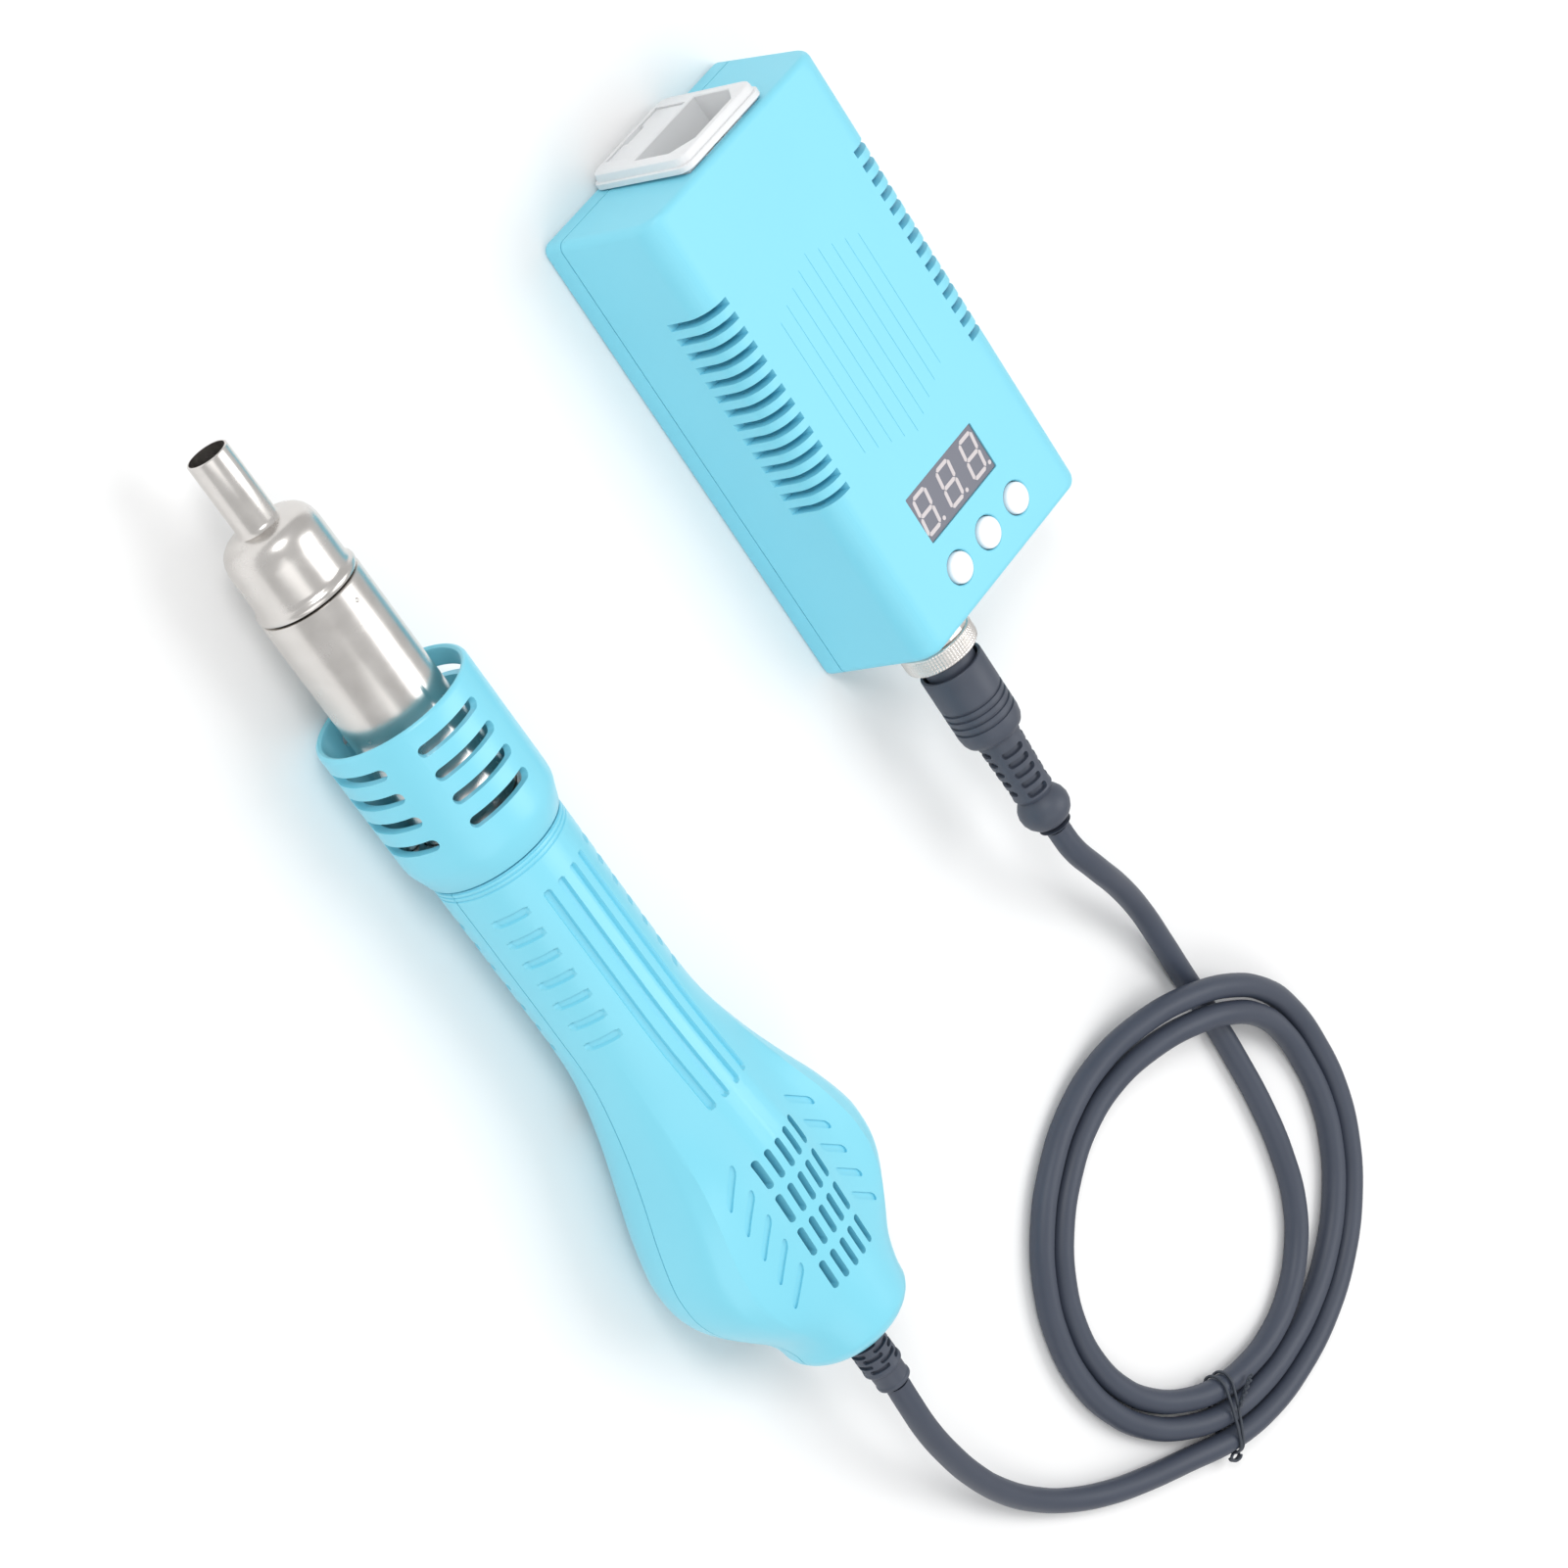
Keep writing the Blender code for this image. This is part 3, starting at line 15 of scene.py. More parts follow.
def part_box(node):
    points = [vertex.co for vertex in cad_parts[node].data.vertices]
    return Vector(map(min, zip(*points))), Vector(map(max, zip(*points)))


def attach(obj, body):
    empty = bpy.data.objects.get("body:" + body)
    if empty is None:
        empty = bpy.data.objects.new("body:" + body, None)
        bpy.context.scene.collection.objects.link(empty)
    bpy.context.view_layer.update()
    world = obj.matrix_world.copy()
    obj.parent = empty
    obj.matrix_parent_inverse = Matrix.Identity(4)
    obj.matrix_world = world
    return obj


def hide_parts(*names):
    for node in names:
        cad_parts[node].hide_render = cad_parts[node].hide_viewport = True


MM = 0.001
ROOT = "handset_and_box"

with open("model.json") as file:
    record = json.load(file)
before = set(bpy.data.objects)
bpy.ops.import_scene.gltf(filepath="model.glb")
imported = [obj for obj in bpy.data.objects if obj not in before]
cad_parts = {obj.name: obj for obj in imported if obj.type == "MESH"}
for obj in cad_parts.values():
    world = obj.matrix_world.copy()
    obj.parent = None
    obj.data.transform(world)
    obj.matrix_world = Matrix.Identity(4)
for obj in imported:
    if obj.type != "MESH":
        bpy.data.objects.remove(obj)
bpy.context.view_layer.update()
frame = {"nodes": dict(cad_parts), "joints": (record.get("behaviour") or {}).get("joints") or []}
joints = {joint["name"]: joint for joint in frame["joints"]}

# ---- handset sizes, in mm along and about its own axis
NOZZLE_R, NOZZLE_WALL, NOZZLE_TUBE = 4.9, 0.45, 18.4
SKIRT_R, SKIRT_END = 11.4, 36.9
SHEET, RUN, GAP = 0.5, 0.35, 0.3
BARREL_R, BARREL_END = 12.25, 97.4
FLANGE_R, FLANGE_AT, FLANGE_T = 16.6, 97.2, 1.0
FLANGE_SCREW_R = 14.6
GUARD_R, GUARD_WALL, GUARD_FRONT = 19.1, 1.8, 67.3
GUARD_SLOTS, GUARD_SLOT_PITCH, GUARD_SLOT_W, GUARD_SLOT_ARC = 4, 6.55, 2.8, 55.0
GUARD_COLUMNS = (-9.0, -88.5, 171.0, 91.5)
GRIP_FRONT, GRIP_R, SHELL_WALL, NECK_R, NECK_BORE = 107.4, 16.5, 2.1, 14.6, 11.9
BULB_HALF, BULB_RISE, BULB_DROP, FAN_X = 32.2, 20.6, 20.9, 216.4
TAIL_X, TAIL_END, RELIEF_R, RELIEF_OUT, CORD_R = 251.3, 258.4, 4.85, 17.0, 3.1
INTAKE_ROWS, INTAKE_COLUMNS, INTAKE_PITCH_X, INTAKE_PITCH_Y = 4, 5, 10.45, 3.55
INTAKE_LONG, INTAKE_WIDE = 7.0, 1.7

HANDLE_SCREWS = ((178.0, 12.4), (178.0, -12.4), (246.0, 9.6), (246.0, -9.6))

# ---- box sizes, in mm from its back corner
BOX = (126.5, 72.4, 34.9)
BOX_WALL, DRAFT_X, DRAFT_Y, SEAM_Z = 2.2, 0.68, 2.16, 6.0
LONG_FILLET, END_FILLET, CORNER_R, FOOT_ROUND = 6.2, 1.6, 2.2, 1.5
VENTS, VENT_FIRST, VENT_PITCH, VENT_W, VENT_Z, VENT_Y = 14, 26.4, 4.05, 1.9, 21.1, 8.4
WINDOW, WINDOW_AT, WINDOW_LIP, DISPLAY_ROOM = (12.9, 28.4), (99.5, 34.95), 0.9, 1.7
BUTTON_X, BUTTON_Y, BUTTON_PITCH, BUTTON_R, BUTTON_PROUD = 115.45, 36.3, 12.6, 3.8, 0.9
CASE_SCREWS = ((22.5, 6.2), (22.5, BOX[1] - 6.2), (108.0, 6.2), (108.0, BOX[1] - 6.2))
INLET_FLANGE, INLET_BODY, INLET_DEPTH = (31.0, 32.4, 4.3), (27.4, 28.8), 18.0
SOCKET_MOUTH, SOCKET_CHAMFER, SOCKET_RISE = (24.2, 16.6), 4.8, 6.2
DRAWER = (20.0, 9.4)
KNURLS, KNURL_LEAN = 36, 0.78
PINS = ((7.0, -1.6), (-7.0, -1.6), (0.0, 2.4))
LINK_AT, LINK_R, LINK_NUT_R, PLUG_SHELL_R, PLUG_R, PLUG_END = (15.4, 22.5), 7.9, 9.7, 6.5, 8.15, 187.7


def corner_of_box():
    """The box's back corner at the inlet end, worked out from its back shell."""
    low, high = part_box("case_back_shell")
    middle = (Vector(low) + Vector(high)) / 2
    return Vector((middle.x - BOX[0] / 2 * MM, middle.y - BOX[1] / 2 * MM, low[2]))


def handset_frame():
    """The handset's own axes, from the fan's shaft and the way that the nozzle pulls off."""
    along = -Vector(joints["nozzle_pull"]["axis"]).normalized()
    up = Vector(joints["fan_spin"]["axis"]).normalized()
    across = up.cross(along)
    turn = Matrix((along, across, up)).transposed().to_4x4()
    return Matrix.Translation(Vector(joints["fan_spin"]["pos_m"])) @ turn @ Matrix.Translation((-FAN_X * MM, 0, 0))


MILLIMETRES = Matrix.Scale(MM, 4)
IN_BOX = Matrix.Translation(corner_of_box()) @ MILLIMETRES
IN_HANDSET = handset_frame() @ MILLIMETRES
IN_LINK = IN_BOX @ Matrix.Translation((0.0, *LINK_AT))

# The cord's route from the plug's end to the handset: box corner frame, millimetres. The two leads are listed point
# by point, and the coil between them is a spiral on an ellipse that rises where it passes over the first lead.
LEAD_IN = (
    (188.1, 15.4, 22.5), (195.6, 16.1, 22.1), (206.0, 20.5, 19.8), (218.0, 27.0, 15.0), (231.0, 32.5, 10.0),
    (245.0, 36.0, 5.8), (259.0, 38.0, 3.1), (273.5, 38.2, 3.1), (288.0, 37.6, 3.1), (303.0, 36.2, 3.1),
    (317.0, 33.2, 3.1), (329.5, 28.0, 3.1), (339.0, 19.4, 3.1), (345.0, 8.5, 3.1), (347.0, -1.8, 3.1),
)  # fmt: skip
LEAD_OUT = (
    (347.0, -44.5, 3.1), (339.5, -57.5, 3.1), (331.5, -69.5, 3.1), (322.5, -80.0, 3.1), (312.0, -89.0, 4.7),
    (300.5, -96.5, 7.5), (288.0, -102.5, 11.0), (275.0, -107.0, 14.8), (263.0, -110.0, 18.3), (253.0, -111.3, 20.9),
    (245.4, -111.3, 21.7),
)  # fmt: skip
COIL_AT = (305.0, 0.7)
COIL_HALF = (42.3, 50.0)
COIL_GROWTH = (7.0, 6.6)
COIL_START, COIL_END, COIL_STEP = -15, -750, 15
CROSSING, CROSSING_REACH, CROSSING_RISE = 139, 55, 7.2
TIE_ANGLE, TIE_REACH, TIE_LIFT = -30, 30, 1.0


def hump(angle, middle, reach):
    """From 0 to 1 and back as the coil passes the middle angle, in degrees."""
    away = abs((angle - middle + 180) % 360 - 180)
    return math.cos(math.pi / 2 * min(away / reach, 1.0)) ** 2


def coil_point(angle):
    turns = (COIL_START - angle) / 360
    across, along = (half + growth * turns for half, growth in zip(COIL_HALF, COIL_GROWTH))
    crossing = CROSSING_RISE * hump(angle, CROSSING, CROSSING_REACH)
    lift = TIE_LIFT * hump(angle, TIE_ANGLE, TIE_REACH)
    turned = math.radians(angle)
    return COIL_AT[0] + across * math.cos(turned), COIL_AT[1] + along * math.sin(turned), CORD_R + crossing + lift


COIL = tuple(coil_point(angle) for angle in range(COIL_START, COIL_END - 1, -COIL_STEP))
CORD_ROUTE = (*LEAD_IN, *COIL, *LEAD_OUT)
# The tie holds the coil's first turn, its second and the second lead side by side.
TIE_AT = (*coil_point(TIE_ANGLE - 360)[:2], 0.0)
TIE_BEFORE, TIE_AFTER = (coil_point(TIE_ANGLE - 360 + step) for step in (COIL_STEP, -COIL_STEP))
TIE_TURN = math.atan2(TIE_AFTER[1] - TIE_BEFORE[1], TIE_AFTER[0] - TIE_BEFORE[0])
TIE_ROW = math.dist(coil_point(TIE_ANGLE), coil_point(TIE_ANGLE - 360))
TIE_STRANDS = ((-TIE_ROW, CORD_R + TIE_LIFT), (TIE_ROW, CORD_R + TIE_LIFT))


# ---- making meshes -------------------------------------------------------------------------------


def lofted(rings, caps=True, around=True):
    bm = bmesh.new()
    add_loft(bm, rings, caps, around)
    return bm


def add_loft(bm, rings, caps=True, around=True):
    rows = [[bm.verts.new(p) for p in ring] for ring in rings]
    count = len(rows[0])
    for low, high in zip(rows, rows[1:]):
        for i in range(count if around else count - 1):
            j = (i + 1) % count
            bm.faces.new((low[i], low[j], high[j], high[i]))
    if caps:
        bm.faces.new(rows[0])
        bm.faces.new(list(reversed(rows[-1])))


def add_prism(bm, outline, heights):
    """A flat outline raised through the heights."""
    add_loft(bm, [[Vector((x, y, z)) for x, y in outline] for z in heights])


def upright(x, y, z):
    """Stands a shape that was turned about X on end at a point."""
    return Matrix.Translation((x, y, z)) @ Matrix.Rotation(math.radians(-90), 4, "Y")


def turned(profile, sides=96, closed=False):
    bm = bmesh.new()
    add_turned(bm, profile, sides, closed)
    return bm


def add_turned(bm, profile, sides=96, closed=False, place=None):
    """Spins (x, radius) points about X; where the radius is zero the ring closes to a point."""
    place = place or Matrix.Identity(4)
    rings = []
    for x, radius in profile:
        angles = [math.tau * k / sides for k in range(sides)] if radius > 0 else [0.0]
        rings.append([bm.verts.new(place @ Vector((x, radius * math.cos(a), radius * math.sin(a)))) for a in angles])
    pairs = list(zip(rings, rings[1:]))
    if closed:
        pairs.append((rings[-1], rings[0]))
    for low, high in pairs:
        for k in range(sides):
            n = (k + 1) % sides
            corners = [low[k % len(low)], low[n % len(low)], high[n % len(high)], high[k % len(high)]]
            kept = list(dict.fromkeys(corners))
            if len(kept) > 2:
                bm.faces.new(kept)


def rounded_profile(points, radius=0.25, steps=3):
    """The same (x, radius) outline with its inner corners rounded."""
    out = [points[0]]
    for before, corner, after in zip(points, points[1:], points[2:]):
        a, b, c = Vector(before), Vector(corner), Vector(after)
        cut = min(radius, 0.45 * (a - b).length, 0.45 * (c - b).length)
        start, end = b + (a - b).normalized() * cut, b + (c - b).normalized() * cut
        for k in range(steps + 1):
            t = k / steps
            p = (1 - t) ** 2 * start + 2 * t * (1 - t) * b + t * t * end
            out.append((p.x, p.y))
    return out + [points[-1]]


def add_box(bm, low, high):
    low, high = Vector(low), Vector(high)
    size = Matrix.Diagonal((*(high - low), 1.0))
    bmesh.ops.create_cube(bm, size=1.0, matrix=Matrix.Translation((low + high) / 2) @ size)


def cut_box(obj, low, high, place):
    box = bmesh.new()
    add_box(box, low, high)
    carve(obj, box, place)


def softened(bm, width=0.3, segments=3, angle=35):
    """Rounds every edge sharper than the angle."""
    edges = [e for e in bm.edges if len(e.link_faces) == 2 and e.calc_face_angle(0) > math.radians(angle)]
    bmesh.ops.bevel(bm, geom=edges, offset=width, segments=segments, affect="EDGES", profile=0.5, clamp_overlap=True)
    return bm


def stadium(long, wide, steps=8):
    """Outline of a slot with round ends, its long way along X."""
    points = []
    for side, start in ((1, -90), (-1, 90)):
        for k in range(steps + 1):
            angle = math.radians(start + 180 * k / steps)
            x = side * (long - wide) / 2 + wide / 2 * math.cos(angle)
            points.append((x, wide / 2 * math.sin(angle)))
    return points


def rounded_rect(low, high, radius, steps=6):
    corners = ((high[0], high[1], 0), (low[0], high[1], 90), (low[0], low[1], 180), (high[0], low[1], 270))
    middle = ((low[0] + high[0]) / 2, (low[1] + high[1]) / 2)
    points = []
    for x, y, start in corners:
        cx, cy = x - math.copysign(radius, x - middle[0]), y - math.copysign(radius, y - middle[1])
        for k in range(steps + 1):
            angle = math.radians(start + 90 * k / steps)
            points.append((cx + radius * math.cos(angle), cy + radius * math.sin(angle)))
    return points


def mesh_object(name, bm, place):
    bmesh.ops.recalc_face_normals(bm, faces=bm.faces)
    bm.transform(place)
    mesh = bpy.data.meshes.new(name)
    bm.to_mesh(mesh)
    bm.free()
    obj = bpy.data.objects.new(name, mesh)
    bpy.context.scene.collection.objects.link(obj)
    return obj


def settle(obj):
    """Applies the object's modifiers to its mesh."""
    bpy.context.view_layer.update()
    graph = bpy.context.evaluated_depsgraph_get()
    mesh = bpy.data.meshes.new_from_object(obj.evaluated_get(graph))
    obj.modifiers.clear()
    obj.data = mesh


def carve(obj, cutter, place, operation="DIFFERENCE"):
    """Cuts a shape out of the object, or joins it on, for good."""
    tool = mesh_object(obj.name + "_tool", cutter, place)
    modifier = obj.modifiers.new("Carve", "BOOLEAN")
    modifier.operation = operation
    modifier.object = tool
    settle(obj)
    bpy.data.objects.remove(tool)


def dress(obj, look, nodes=(), body=ROOT, sharp=32):
    """Gives a piece its finish, its body and the nodes that it stands for."""
    obj.data.materials.clear()
    obj.data.materials.append(look)
    if obj.type == "MESH":
        obj.data.shade_smooth()
        obj.data.set_sharp_from_angle(angle=math.radians(sharp))
    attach(obj, body)
    if nodes:
        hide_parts(*nodes)
    return obj


def add_spline(data, route, cyclic=False):
    spline = data.splines.new("BEZIER")
    spline.bezier_points.add(len(route) - 1)
    spline.use_cyclic_u = cyclic
    for point, at in zip(spline.bezier_points, route):
        point.co = at
        point.handle_left_type = point.handle_right_type = "AUTO"


def curve_tube(name, routes, radius, cyclic=False, resolution=6):
    """A round tube along each list of points, given in metres."""
    data = bpy.data.curves.new(name, "CURVE")
    data.dimensions = "3D"
    data.bevel_depth = radius
    data.bevel_resolution = 5
    data.resolution_u = resolution
    data.use_fill_caps = True
    for route in routes:
        add_spline(data, route, cyclic)
    obj = bpy.data.objects.new(name, data)
    bpy.context.scene.collection.objects.link(obj)
    return obj


# ---- finishes ------------------------------------------------------------------------------------


def surface_group(name, inputs):
    """An empty group for a surface: its inputs, and a height, a tone and a roughness that come out."""
    group = bpy.data.node_groups.new(name, "ShaderNodeTree")
    for label, value in inputs:
        kind = "NodeSocketFloat" if isinstance(value, float) else "NodeSocketVector"
        group.interface.new_socket(label, in_out="INPUT", socket_type=kind).default_value = value
    for label in ("Height", "Tone", "Roughness"):
        group.interface.new_socket(label, in_out="OUTPUT", socket_type="NodeSocketFloat")
    return group, group.nodes.new("NodeGroupInput")


def close_group(group, start, height, tone):
    """Sends the height, the tone and a roughness that follows the tone out of the group."""
    end = group.nodes.new("NodeGroupOutput")
    rough = mapped(group, tone, start.outputs["Roughness Low"], start.outputs["Roughness High"])
    for label, value in (("Height", height), ("Tone", tone), ("Roughness", rough)):
        group.links.new(value, end.inputs[label])
    return group


def mapped(tree, value, low, high):
    """A value from 0..1 stretched to low..high."""
    node = tree.nodes.new("ShaderNodeMapRange")
    tree.links.new(value, node.inputs["Value"])
    for label, what in (("To Min", low), ("To Max", high)):
        if isinstance(what, float):
            node.inputs[label].default_value = what
        else:
            tree.links.new(what, node.inputs[label])
    return node.outputs["Result"]


def noise(tree, where, scale, detail=4.0):
    node = tree.nodes.new("ShaderNodeTexNoise")
    node.inputs["Detail"].default_value = detail
    tree.links.new(where, node.inputs["Vector"])
    if isinstance(scale, float):
        node.inputs["Scale"].default_value = scale
    else:
        tree.links.new(scale, node.inputs["Scale"])
    return node.outputs["Fac"]


def moulded_surface_group():
    """Fine texture of a moulded or cast surface, with slow unevenness in tone and gloss."""
    inputs = (
        ("Grain Scale", 2500.0), ("Tone Scale", 30.0), ("Roughness Low", 0.35), ("Roughness High", 0.5),
    )
    group, start = surface_group("moulded surface", inputs)
    where = group.nodes.new("ShaderNodeTexCoord").outputs["Object"]
    grain = noise(group, where, start.outputs["Grain Scale"], 2.0)
    tone = noise(group, where, start.outputs["Tone Scale"], 5.0)
    return close_group(group, start, grain, tone)


def drawn_metal_group():
    """Fine lines of a turned or drawn metal, finest along the axis with the largest scale, with smudges."""
    inputs = (
        ("Lines", (4000.0, 60.0, 60.0)), ("Roughness Low", 0.18), ("Roughness High", 0.34),
    )
    group, start = surface_group("drawn metal", inputs)
    where = group.nodes.new("ShaderNodeTexCoord").outputs["Object"]
    stretch = group.nodes.new("ShaderNodeVectorMath")
    stretch.operation = "MULTIPLY"
    group.links.new(where, stretch.inputs[0])
    group.links.new(start.outputs["Lines"], stretch.inputs[1])
    lines = noise(group, stretch.outputs["Vector"], 1.0, 3.0)
    smudges = noise(group, where, 160.0, 5.0)
    return close_group(group, start, lines, smudges)


MOULDED = moulded_surface_group()
DRAWN = drawn_metal_group()
RELIEF_HEIGHT = 0.00002


def finish_of(name, group, dark, light, gloss, bump=0.02, **values):
    """A Principled material whose tone, gloss and fine relief come from a surface group."""
    values |= dict(zip(("Roughness_Low", "Roughness_High"), gloss))
    look = bpy.data.materials.new(name)
    look.use_nodes = True
    tree = look.node_tree
    shader = tree.nodes["Principled BSDF"]
    surface = tree.nodes.new("ShaderNodeGroup")
    surface.node_tree = group
    for label, value in values.items():
        surface.inputs[label.replace("_", " ")].default_value = value
    ramp = tree.nodes.new("ShaderNodeMix")
    ramp.data_type = "RGBA"
    ramp.inputs["A"].default_value = (*dark, 1.0)
    ramp.inputs["B"].default_value = (*light, 1.0)
    tree.links.new(surface.outputs["Tone"], ramp.inputs["Factor"])
    tree.links.new(ramp.outputs["Result"], shader.inputs["Base Color"])
    tree.links.new(surface.outputs["Roughness"], shader.inputs["Roughness"])
    relief = tree.nodes.new("ShaderNodeBump")
    relief.inputs["Strength"].default_value = bump
    relief.inputs["Distance"].default_value = RELIEF_HEIGHT
    tree.links.new(surface.outputs["Height"], relief.inputs["Height"])
    tree.links.new(relief.outputs["Normal"], shader.inputs["Normal"])
    shader.inputs["Metallic"].default_value = 1.0 if group == DRAWN else 0.0
    look.diffuse_color = (*light, 1.0)
    return look


TEAL = finish_of(
    "satin teal moulding", MOULDED, (0.205, 0.645, 0.80), (0.235, 0.69, 0.84), bump=0.25,
    Grain_Scale=3200.0, gloss=(0.40, 0.52))  # fmt: skip
TEAL_GLOSS = finish_of(
    "smooth teal moulding", MOULDED, (0.205, 0.645, 0.80), (0.235, 0.69, 0.84), bump=0.1,
    Grain_Scale=2200.0, gloss=(0.26, 0.36))  # fmt: skip
INLET_WHITE = finish_of(
    "white inlet moulding", MOULDED, (0.74, 0.75, 0.76), (0.80, 0.81, 0.82), bump=0.1,
    gloss=(0.3, 0.42))  # fmt: skip
BUTTON_WHITE = finish_of(
    "white button moulding", MOULDED, (0.88, 0.89, 0.92), (0.93, 0.94, 0.97), bump=0.05,
    gloss=(0.3, 0.4))  # fmt: skip
STEEL = finish_of(
    "drawn stainless steel", DRAWN, (0.60, 0.575, 0.55), (0.76, 0.735, 0.71), bump=0.15,
    Lines=(120.0, 1400.0, 1400.0), gloss=(0.2, 0.32))  # fmt: skip
NICKEL = finish_of(
    "nickel plating", DRAWN, (0.66, 0.63, 0.60), (0.80, 0.77, 0.74), bump=0.1,
    Lines=(3000.0, 80.0, 80.0), gloss=(0.22, 0.34))  # fmt: skip
ZINC = finish_of(
    "zinc-plated screw", DRAWN, (0.42, 0.42, 0.43), (0.62, 0.61, 0.6), bump=0.1,
    Lines=(900.0, 900.0, 900.0), gloss=(0.25, 0.4))  # fmt: skip
CORD_SHEATH = finish_of(
    "cord sheath", MOULDED, (0.038, 0.048, 0.074), (0.056, 0.068, 0.098), bump=0.3,
    Grain_Scale=1500.0, Tone_Scale=60.0, gloss=(0.42, 0.55))  # fmt: skip
BOOT_RUBBER = finish_of(
    "moulded boot", MOULDED, (0.046, 0.055, 0.078), (0.070, 0.082, 0.112), bump=0.35,
    Grain_Scale=1900.0, Tone_Scale=90.0, gloss=(0.42, 0.58))  # fmt: skip
DARK_NYLON = finish_of(
    "dark nylon", MOULDED, (0.02, 0.022, 0.026), (0.035, 0.036, 0.04), bump=0.2,
    gloss=(0.4, 0.55))  # fmt: skip
CERAMIC = finish_of(
    "white ceramic", MOULDED, (0.66, 0.62, 0.55), (0.80, 0.77, 0.71), bump=0.4,
    Grain_Scale=1200.0, gloss=(0.6, 0.8))  # fmt: skip
MICA = finish_of(
    "mica sheet", MOULDED, (0.36, 0.29, 0.2), (0.60, 0.52, 0.4), bump=0.2,
    Tone_Scale=300.0, gloss=(0.25, 0.5))  # fmt: skip
HEATING_WIRE = finish_of(
    "oxidised heating wire", DRAWN, (0.2, 0.18, 0.17), (0.38, 0.34, 0.31),
    gloss=(0.35, 0.55))  # fmt: skip
BOARD_GREEN = finish_of(
    "solder mask", MOULDED, (0.012, 0.11, 0.045), (0.02, 0.16, 0.065), bump=0.15,
    Grain_Scale=700.0, gloss=(0.25, 0.4))  # fmt: skip
ALUMINIUM = finish_of(
    "extruded aluminium", DRAWN, (0.6, 0.6, 0.61), (0.76, 0.76, 0.77),
    Lines=(60.0, 60.0, 3000.0), gloss=(0.3, 0.42))  # fmt: skip
COPPER = finish_of(
    "copper winding", DRAWN, (0.5, 0.2, 0.1), (0.76, 0.38, 0.22),
    Lines=(90.0, 90.0, 4500.0), gloss=(0.3, 0.42))  # fmt: skip
DISPLAY_FACE = finish_of(
    "display face", MOULDED, (0.135, 0.14, 0.178), (0.152, 0.158, 0.198), bump=0.05,
    gloss=(0.3, 0.38))  # fmt: skip
DISPLAY_SIDE = finish_of(
    "display body", MOULDED, (0.05, 0.055, 0.07), (0.06, 0.066, 0.08), bump=0.1,
    gloss=(0.4, 0.5))  # fmt: skip
SEGMENT = finish_of(
    "unlit segment", MOULDED, (0.58, 0.53, 0.54), (0.64, 0.59, 0.6), bump=0.05,
    gloss=(0.35, 0.45))  # fmt: skip
TIE_PAPER = finish_of(
    "tie strip", MOULDED, (0.03, 0.038, 0.052), (0.05, 0.06, 0.08), bump=0.5,
    Grain_Scale=900.0, gloss=(0.4, 0.6))  # fmt: skip


# ---- handset -------------------------------------------------------------------------------------

HALF_WIDTH = (
    (107.4, GRIP_R), (150.0, GRIP_R), (163.6, 16.9), (173.3, 18.7), (183.0, 21.3), (192.9, 24.7),
    (202.8, 28.6), (212.8, BULB_HALF - 0.5), (217.9, BULB_HALF), (222.9, BULB_HALF - 0.3),
    (228.0, 30.3), (233.0, 27.4), (238.1, 23.6), (243.3, 19.6), (248.5, 17.1), (TAIL_X, GRIP_R),
)  # fmt: skip
TOP_HEIGHT = (
    (107.4, GRIP_R), (148.0, GRIP_R), (163.6, 17.1), (181.3, 18.9), (193.0, 20.3), (200.6, BULB_RISE),
    (211.0, 19.6), (221.6, 18.4), (232.0, 17.4), (243.0, 16.8), (TAIL_X, GRIP_R),
)  # fmt: skip
DROP = (
    (107.4, GRIP_R), (150.0, GRIP_R), (163.6, 16.9), (181.3, 18.8), (197.0, 20.5), (FAN_X - 5, BULB_DROP),
    (FAN_X + 4, BULB_DROP), (228.0, 20.0), (238.0, 18.2), (248.0, 16.8), (TAIL_X, GRIP_R),
)  # fmt: skip
BULGE = ((150.0, 0.0), (172.0, 0.35), (196.0, 1.0), (225.0, 1.0), (247.0, 0.0))
# Upper half of the bulb's section, ridge to crease and crease to side, as (degrees, width share, height share).
RIDGE_TO_CREASE = ((0, 0.0, 1.0), (15, 0.2, 0.952), (30, 0.37, 0.842), (45, 0.55, 0.752), (60, 0.755, 0.695))
CREASE_TO_SIDE = ((60, 0.755, 0.695), (70, 0.885, 0.52), (80, 0.965, 0.27), (90, 1.0, 0.0))
GROOVES_Y, GROOVE_W, GROOVE_DEEP, GROOVE_SPAN = (2.2, 6.2), 2.0, 1.0, (116.5, 181.3)
DIMPLES, DIMPLE_FIRST, DIMPLE_PITCH, DIMPLE_W, DIMPLE_DEEP = 7, 117.7, 6.0, 2.3, 0.7
DIMPLE_ANGLES, DIMPLE_ARC = (56.0, 124.0), 11.5
RING_GROOVES = (107.75, 108.8, 109.9)
LAST_FITTED = 190.0
# Angles down the section's side, closer together where a row of dimples starts and ends.
SIDE_ANGLES = [
    32.0, 36.0, 40.0, 42.5, 44.0, 44.6, 45.4, 47.0, 50.0, 54.0, 58.0, 60.0,
    62.0, 65.0, 67.0, 67.6, 68.4, 70.0, 73.0, 77.0, 81.0, 85.0, 88.0, 90.0,
]  # fmt: skip


